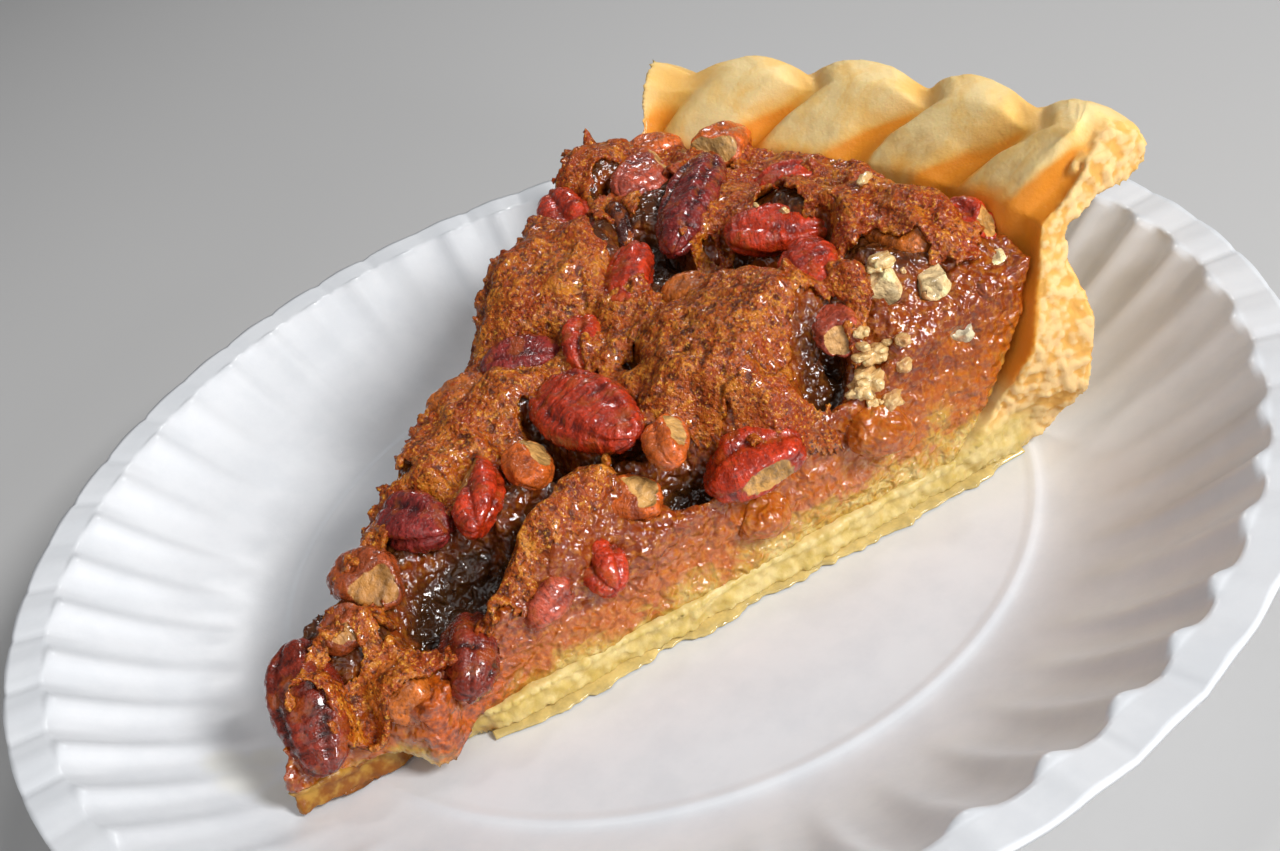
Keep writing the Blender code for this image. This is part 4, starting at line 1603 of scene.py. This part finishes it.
@dataclass
class BrownedSkin:
    """The baked skin on the filling: a thin sheet with ragged openings, draped over the nuts, in mm.

    The spike is a point of skin that stands up at the back left: its x, its y, its width and height.
    """

    mesh_step: float = 0.24
    margin: float = 4.0
    thickness: float = 0.7
    lift: float = 0.85
    over_nut: float = 0.4
    fray: float = 1.3
    fine_fray: float = 0.5
    overhang: float = 3.6
    left_border: float = 3.0
    tip_gap: float = 5.0
    back_end: float = 97.0
    curl: float = 0.9
    droop: float = 1.6
    buckle: float = 0.6
    wander: float = 1.6
    ledge: float = 0.8
    ledge_range: tuple[float, float] = (-0.6, 1.4)
    ledge_seed: int = 3
    clearance: float = 0.55
    spike: tuple[float, float, float, float] = (-29.6, 30.6, 1.3, 4.6)
    sponge: float = 0.22
    swelling: float = 0.2
    back_redness: float = 0.45
    highest: float = 90.0
    fill_rounds: int = 26
    fewest_points: int = 400

    def build(self, below: list[bpy.types.Object], nuts: list[bpy.types.Object]) -> bpy.types.Object:
        """Drape a sheet over the filling, tear it and give it thickness.

        Args:
            below: The pieces that it lies on.
            nuts: The pecans that it climbs a little.

        Returns:
            The finished piece.
        """
        low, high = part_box("filling")
        width = (high.x - low.x) / MM + 2.0 * self.margin
        length = (high.y - low.y) / MM + 2.0 * self.margin
        middle = ((low + high) / 2).to_2d()
        columns = int(width / self.mesh_step)
        rows = int(length / self.mesh_step)
        clear_selection()
        bpy.ops.mesh.primitive_grid_add(x_subdivisions=columns, y_subdivisions=rows, size=1.0,
                                        location=(middle.x, middle.y, 0.0))
        skin = added("browned_skin")
        skin.scale = (width * MM, length * MM, 1.0)
        seat(skin)
        flat = places_of(skin)
        flat[:, 2], ground = self.draped(flat, surface_of(below), nuts, rows + 1, columns + 1)
        note(skin, "ground", ground)
        put(skin, flat)
        self.tear(skin, self.spread(flat))
        return self.finished(skin)

    def draped(self, flat: np.ndarray, ground: BVHTree, nuts: list[bpy.types.Object],
               rows: int, columns: int) -> tuple[np.ndarray, np.ndarray]:
        """Height of the sheet at each point, and of the custard under it.

        Args:
            flat: Points of the flat sheet.
            ground: Search tree over the custard.
            nuts: The pecans, in the order of their numbers.
            rows: Points along the sheet.
            columns: Points across the sheet.

        Returns:
            Both heights for each point, in mm.
        """
        down = Vector((0.0, 0.0, -1.0))
        base = np.full(len(flat), np.nan)
        peak = np.full(len(flat), -9.0)
        tree = surface_of(nuts)
        covers = [places_of(nut)[:, 2].max() - look.shows for nut, look in zip(nuts, NUTS.values())]
        cover = np.concatenate([[height] * len(nut.data.polygons) for nut, height in zip(nuts, covers)])
        uneven = 0.9 * rough(flat, 1.6, 2, 391) + 1.5 * rough(flat, 4.6, 2, 395)
        s, v = wedge(flat)
        inside = (s < self.back_end + 3.0) & ((np.abs(v) - 1.0) * half_width(s) < 6.0)
        for index in np.nonzero(inside)[0]:
            start = Vector((flat[index, 0], flat[index, 1], self.highest))
            hit = ground.ray_cast(start, down)[0]
            if hit is not None:
                base[index] = hit.z
            hit, _, face, _ = tree.ray_cast(start, down)
            if hit is not None:
                peak[index] = min(hit.z + self.over_nut, cover[face] + uneven[index])
        base = self.filled(base.reshape(rows, columns))
        sheet = np.maximum(self.blurred(base, 6) + self.lift, peak.reshape(rows, columns))
        return self.blurred(sheet, 4).ravel(), base.ravel()

    def filled(self, grid: np.ndarray) -> np.ndarray:
        """Carry heights outwards to the points that lie past the filling's edge.

        Args:
            grid: Heights, not a number where none is known.

        Returns:
            The filled heights.
        """
        for _ in range(self.fill_rounds):
            empty = np.isnan(grid)
            if not empty.any():
                break
            padded = np.pad(grid, 1, constant_values=np.nan)
            around = np.stack([padded[:-2, 1:-1], padded[2:, 1:-1], padded[1:-1, :-2], padded[1:-1, 2:]])
            known = ~np.isnan(around)
            mean = np.where(known, around, 0.0).sum(axis=0) / np.maximum(1, known.sum(axis=0))
            grid = np.where(empty & known.any(axis=0), mean, grid)
        return np.nan_to_num(grid, nan=0.0)

    def blurred(self, grid: np.ndarray, times: int) -> np.ndarray:
        """Smooth a grid of heights a few times.

        Args:
            grid: The heights.
            times: How many times.

        Returns:
            The smoothed heights.
        """
        for _ in range(times):
            padded = np.pad(grid, 1, mode="edge")
            beside = padded[:-2, 1:-1] + padded[2:, 1:-1] + padded[1:-1, :-2] + padded[1:-1, 2:]
            corners = padded[:-2, :-2] + padded[2:, 2:] + padded[:-2, 2:] + padded[2:, :-2]
            grid = (4.0 * padded[1:-1, 1:-1] + 2.0 * beside + corners) / 16.0
        return grid

    def spread(self, flat: np.ndarray) -> np.ndarray:
        """How far inside the skin each point lies, in mm, negative where there is none.

        Args:
            flat: Points in mm, one row each.

        Returns:
            One number for each point.
        """
        plan = flat * (1.0, 1.0, 0.0)
        s, v = wedge(plan)
        half = half_width(s)
        covered = deepest(SHEETS, plan)
        open_here = deepest(HOLLOWS, plan)
        hang = self.overhang * ease((s - 12.0) / 12.0)
        left_edge = v * half + half + hang * (0.9 + 0.6 * rough(plan, 3.2, 3, 401))
        right_edge = half - v * half + 0.2
        back_edge = self.back_end - s
        along_left = self.left_border - np.abs(half + v * half + 0.5) * 0.6
        covered = np.maximum(covered, along_left * ease((s - 30.0) / 6.0))
        field = np.minimum(covered, -open_here)
        field += self.fray * rough(plan, 3.4, 3, 411) + self.fine_fray * rough(plan, 0.9, 2, 415)
        return np.minimum.reduce([field, left_edge, right_edge, back_edge, s - self.tip_gap])

    def tear(self, skin: bpy.types.Object, spread: np.ndarray) -> None:
        """Delete the parts of the sheet that lie outside its spread.

        Args:
            skin: The sheet.
            spread: How far inside the skin each of its points lies.
        """
        outside = [min(spread[corner] for corner in face.vertices) < 0.0 for face in skin.data.polygons]
        cut_away(skin, "FACE", np.array(outside))
        drop_scraps(skin, self.fewest_points)

    def finished(self, skin: bpy.types.Object) -> bpy.types.Object:
        """Curl the sheet's edges, give it thickness and roughen both faces.

        Args:
            skin: The torn sheet.

        Returns:
            The finished piece.
        """
        places = places_of(skin)
        plan = places * (1.0, 1.0, 0.0)
        s, v = wedge(plan)
        near_edge = ease(1.0 - self.spread(plan) / 2.4)
        curl = near_edge * (self.curl * rough(plan, 6.0, 2, 421) + 0.35)
        past_left = -(1.0 + v) * half_width(s)
        droop = self.droop * ease((past_left - 1.2) / 2.0)
        x, y, width, height = self.spike
        from_spike = np.hypot(plan[:, 0] - x, plan[:, 1] - y)
        places[:, 2] += height * np.exp(-((from_spike / width) ** 2))
        ridges = 0.6 - 2.0 * np.abs(rough(plan, 6.5, 2, 433))
        places[:, 2] += curl - droop + self.buckle * (rough(plan, 5.0, 3, 431) + ridges)
        stirred = np.stack([rough(plan, 2.4, 3, salt) for salt in (435, 437)] + [0.0 * s], axis=1)
        owner = np.argmax([sheet.field(plan + self.wander * stirred) for sheet in SHEETS], axis=0)
        steps = np.random.default_rng(self.ledge_seed).uniform(*self.ledge_range, len(SHEETS))
        places[:, 2] += self.ledge * steps[owner]
        ground = np.zeros(len(places))
        skin.data.attributes["ground"].data.foreach_get("value", ground)
        places[:, 2] = np.maximum(places[:, 2], ground + self.clearance)
        put(skin, places)
        apply(skin, "SMOOTH", factor=0.5, iterations=2)
        apply(skin, "SOLIDIFY", thickness=self.thickness * MM, offset=-1.0)
        places = places_of(skin)
        normals = normals_of(skin)
        pits = bubbles(places, 1.1, 441)
        sponge = np.clip(1.5 * pits - 0.85, -1.0, 1.0) + 0.7 * rough(places, 0.95, 2, 451)
        lift = self.sponge * sponge + self.swelling * rough(places, 2.8, 2, 461)
        put(skin, places + normals * lift[:, None])
        # The sponge's relief, which the finish paints as shade in the pores and light on the crests
        note(skin, "relief", sponge)
        note(skin, "back", self.back_redness * ease((wedge(places)[0] - 60.0) / 22.0))
        dress(skin, SkinFinish().make())
        return skin


@dataclass
class Crumbs:
    """Pale crumbs of pastry and nut that lie on the topping, in mm.

    Each cluster gives its x, its y, how far it spreads and how many crumbs it has.
    """

    seed: int = 5
    clusters: tuple[tuple[float, float, float, int], ...] = (
        (27.4, 16.2, 0.8, 4),
        (27.8, 14.9, 0.8, 5),
        (28.4, 13.6, 0.9, 6),
        (30.6, 16.6, 2.2, 3),
        (26.0, 23.6, 2.0, 3),
        (33.6, 20.0, 2.2, 5),
        (31.0, 18.6, 1.8, 4),
        (12.0, 30.0, 8.0, 4),
    )
    smallest: float = 0.35
    largest: float = 1.25
    blockiness: float = 0.8
    roughness: float = 0.6
    above: float = 0.45
    highest: float = 90.0

    def build(self, ground: BVHTree) -> bpy.types.Object:
        """Scatter the crumbs over what lies under them.

        Args:
            ground: Search tree over the topping.

        Returns:
            The finished piece.
        """
        draw = np.random.default_rng(self.seed)
        bits = []
        for x, y, spread, count in self.clusters:
            for _ in range(count):
                place = np.array([x, y]) + draw.normal(0.0, spread * 0.6, 2)
                start = Vector((place[0], place[1], self.highest))
                hit = ground.ray_cast(start, Vector((0.0, 0.0, -1.0)))[0]
                if hit is not None:
                    bits.append(self.bit(hit, draw))
        crumbs = joined("pastry_crumbs", bits)
        dress(crumbs, KernelFinish(Kernel.CREAM).make())
        return crumbs

    def bit(self, spot: Vector, draw: np.random.Generator) -> bpy.types.Object:
        """Model one crumb where it lies.

        Args:
            spot: Place under it, in mm.
            draw: Source of its random numbers.

        Returns:
            The crumb.
        """
        size = draw.uniform(self.smallest, self.largest) ** 1.3
        clear_selection()
        bpy.ops.mesh.primitive_ico_sphere_add(subdivisions=3, radius=1.0)
        bit = added("crumb")
        shape = places_of(bit) * MM
        shape = shape / np.maximum(0.62, np.abs(shape).max(axis=1))[:, None] ** self.blockiness
        shape *= np.array([draw.uniform(0.8, 1.4), draw.uniform(0.7, 1.1), draw.uniform(0.4, 0.8)])
        shape *= (1.0 + self.roughness * rough(shape, 0.8, 3, int(draw.integers(1, 900))))[:, None]
        turn = Matrix.Rotation(draw.uniform(0.0, 6.28), 3, "Z")
        shape = shape @ np.array(turn)
        put(bit, shape * size + np.array([spot.x, spot.y, spot.z + self.above * size]))
        note(bit, "relief", rough(shape, 0.5, 2, 7))
        note(bit, "cut", np.zeros(len(shape)))
        note_places(bit, "own_place", shape)
        return bit


@dataclass
class SyrupRuns:
    """Thin syrup that crept out along the foot of the right cut, and a drip on the plate, in mm.

    The film starts and ends at distances from the slice's point, begins under the slice and reaches
    out past the cut. The drip gives its x, its y and its half sizes.
    """

    starts: float = 22.0
    ends: float = 93.0
    under: float = 1.0
    reach: float = 1.0
    ragged: float = 1.5
    fine_ragged: float = 0.3
    narrowest: float = 0.05
    taper: float = 8.0
    thickness: float = 0.45
    shell: float = 0.12
    above_bottom: float = 0.66
    columns: int = 280
    rows: int = 10
    drip: tuple[float, float, float, float, float] = (10.6, -54.1, 1.3, 0.6, 0.4)

    def build(self) -> bpy.types.Object:
        """Model the film and the drip and join them.

        Returns:
            The finished piece.
        """
        syrup = joined("syrup_runs", [self.film(), self.drop()])
        dress(syrup, SyrupFinish().make())
        return syrup

    def film(self) -> bpy.types.Object:
        """Model the ragged film along the foot of the cut.

        Returns:
            The film.
        """
        clear_selection()
        bpy.ops.mesh.primitive_grid_add(x_subdivisions=self.columns, y_subdivisions=self.rows, size=1.0)
        film = added("syrup_film")
        flat = places_of(film) * MM + 0.5
        s = self.starts + (self.ends - self.starts) * flat[:, 0]
        line = np.stack([s, np.zeros(len(s)), np.zeros(len(s))], axis=1)
        wide = self.reach + self.ragged * rough(line, 5.0, 4, 501)
        wide = np.maximum(self.narrowest, wide + self.fine_ragged * rough(line, 1.3, 2, 503))
        wide *= ease((s - self.starts) / self.taper) * ease((self.ends - s) / self.taper)
        out = -self.under + flat[:, 1] * (self.under + wide)
        along = np.array([math.sin(HALF_ANGLE), math.cos(HALF_ANGLE)])
        outwards = np.array([math.cos(HALF_ANGLE), -math.sin(HALF_ANGLE)])
        places = np.zeros((len(s), 3))
        places[:, :2] = np.array(POINT) + s[:, None] * along + out[:, None] * outwards
        places[:, 2] = self.floor() + self.thickness * np.sqrt(1.0 - 0.96 * flat[:, 1] ** 3)
        put(film, places)
        apply(film, "SOLIDIFY", thickness=self.shell * MM, offset=-1.0)
        return film

    def floor(self) -> float:
        """Height of the plate's floor."""
        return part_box("plate")[0].z / MM + self.above_bottom

    def drop(self) -> bpy.types.Object:
        """Model the flat drip on the plate.

        Returns:
            The drip.
        """
        x, y, *size = self.drip
        clear_selection()
        bpy.ops.mesh.primitive_ico_sphere_add(subdivisions=4, radius=1.0)
        drop = added("syrup_drip")
        shape = places_of(drop) * MM
        shape *= (1.0 + 0.5 * rough(shape * (1, 1, 0), 0.8, 3, 507))[:, None]
        shape *= np.array(size)
        shape[:, 2] = np.maximum(shape[:, 2], 0.0)
        put(drop, shape + np.array([x, y, self.floor()]))
        return drop


@dataclass(frozen=True)
class Lamp:
    """A square soft light: its place in mm, its width in metres and its power in watts."""

    name: str
    place: tuple[float, float, float]
    width: float
    power: float


@dataclass
class Studio:
    """The pale floor, the soft lights and the camera.

    Angles are in degrees. The aim and the camera's distance from it are in mm, and the floor's width
    is in metres.
    """

    azimuth: float = 54.7
    elevation: float = 33.706
    roll: float = -17.503
    distance: float = 193.9
    aim: tuple[float, float, float] = (-14.86, 13.48, 0.6)
    focal_pixels: float = 1400.07
    frame_pixels: float = 1280.0
    sensor: float = 36.0
    floor_size: float = 4.0
    floor_color: Color = (0.56, 0.555, 0.55)
    sky: float = 0.12
    sky_color: Color = (0.93, 0.96, 1.0)
    lamps: tuple[Lamp, ...] = (
        Lamp("key", (640.0, 190.0, 525.0), 0.24, 6.6),
        Lamp("fill", (180.0, -320.0, 420.0), 0.45, 0.45),
        Lamp("back", (-360.0, 360.0, 420.0), 0.09, 0.5),
        Lamp("spark", (-120.0, -60.0, 560.0), 0.05, 0.22),
        Lamp("low", (790.0, -130.0, 200.0), 0.12, 1.4),
    )

    def build(self) -> None:
        """Set up everything round the slice."""
        self.floor()
        self.camera()
        for lamp in self.lamps:
            self.hang(lamp)
        world = bpy.data.worlds.new("Soft room")
        world.use_nodes = True
        background = world.node_tree.nodes["Background"]
        background.inputs["Color"].default_value = (*self.sky_color, 1.0)
        background.inputs["Strength"].default_value = self.sky
        bpy.context.scene.world = world
        bpy.context.scene.view_settings.view_transform = "Standard"

    def floor(self) -> None:
        """Lay the pale floor under the plate."""
        clear_selection()
        bpy.ops.mesh.primitive_plane_add(size=self.floor_size, location=(0, 0, 0))
        floor = added("floor")
        nodes = Nodes("Pale floor")
        nodes.set(Base_Color=(*self.floor_color, 1.0), Roughness=0.6)
        floor.data.materials.append(nodes.material)

    def camera(self) -> None:
        """Place the camera where the photograph was taken from."""
        azimuth = math.radians(self.azimuth)
        elevation = math.radians(self.elevation)
        roll = math.radians(self.roll)
        level = math.cos(elevation)
        back = Vector((math.sin(azimuth) * level, -math.cos(azimuth) * level, math.sin(elevation)))
        right = Vector((math.cos(azimuth), math.sin(azimuth), 0.0))
        up = back.cross(right)
        across = math.cos(roll) * right + math.sin(roll) * up
        upright = math.cos(roll) * up - math.sin(roll) * right
        data = bpy.data.cameras.new("camera")
        data.sensor_width = self.sensor
        data.lens = self.focal_pixels / self.frame_pixels * self.sensor
        data.clip_start = 0.01
        camera = bpy.data.objects.new("camera", data)
        bpy.context.scene.collection.objects.link(camera)
        place = (Vector(self.aim) + back * self.distance) * MM
        camera.matrix_world = Matrix((
            (across.x, upright.x, back.x, place.x),
            (across.y, upright.y, back.y, place.y),
            (across.z, upright.z, back.z, place.z),
            (0.0, 0.0, 0.0, 1.0)))
        bpy.context.scene.camera = camera

    def hang(self, lamp: Lamp) -> None:
        """Hang a light that faces the slice.

        Args:
            lamp: What it is and where it hangs.
        """
        data = bpy.data.lights.new(lamp.name, "AREA")
        data.size = lamp.width
        data.energy = lamp.power
        light = bpy.data.objects.new(lamp.name, data)
        bpy.context.scene.collection.objects.link(light)
        light.location = Vector(lamp.place) * MM
        light.rotation_euler = (-light.location).to_track_quat("-Z", "Y").to_euler()


def main() -> None:
    """Build the pieces in order."""
    logging.basicConfig(level=logging.INFO, format="%(name)s %(message)s")
    PaperPlate().build()
    BakedCrust().build()
    nuts = Pecans().build()
    custard = Custard().build(nuts)
    skin = BrownedSkin().build([custard], nuts)
    Crumbs().build(surface_of([custard, skin, *nuts]))
    SyrupRuns().build()
    Studio().build()


if __name__ == "__main__":
    main()
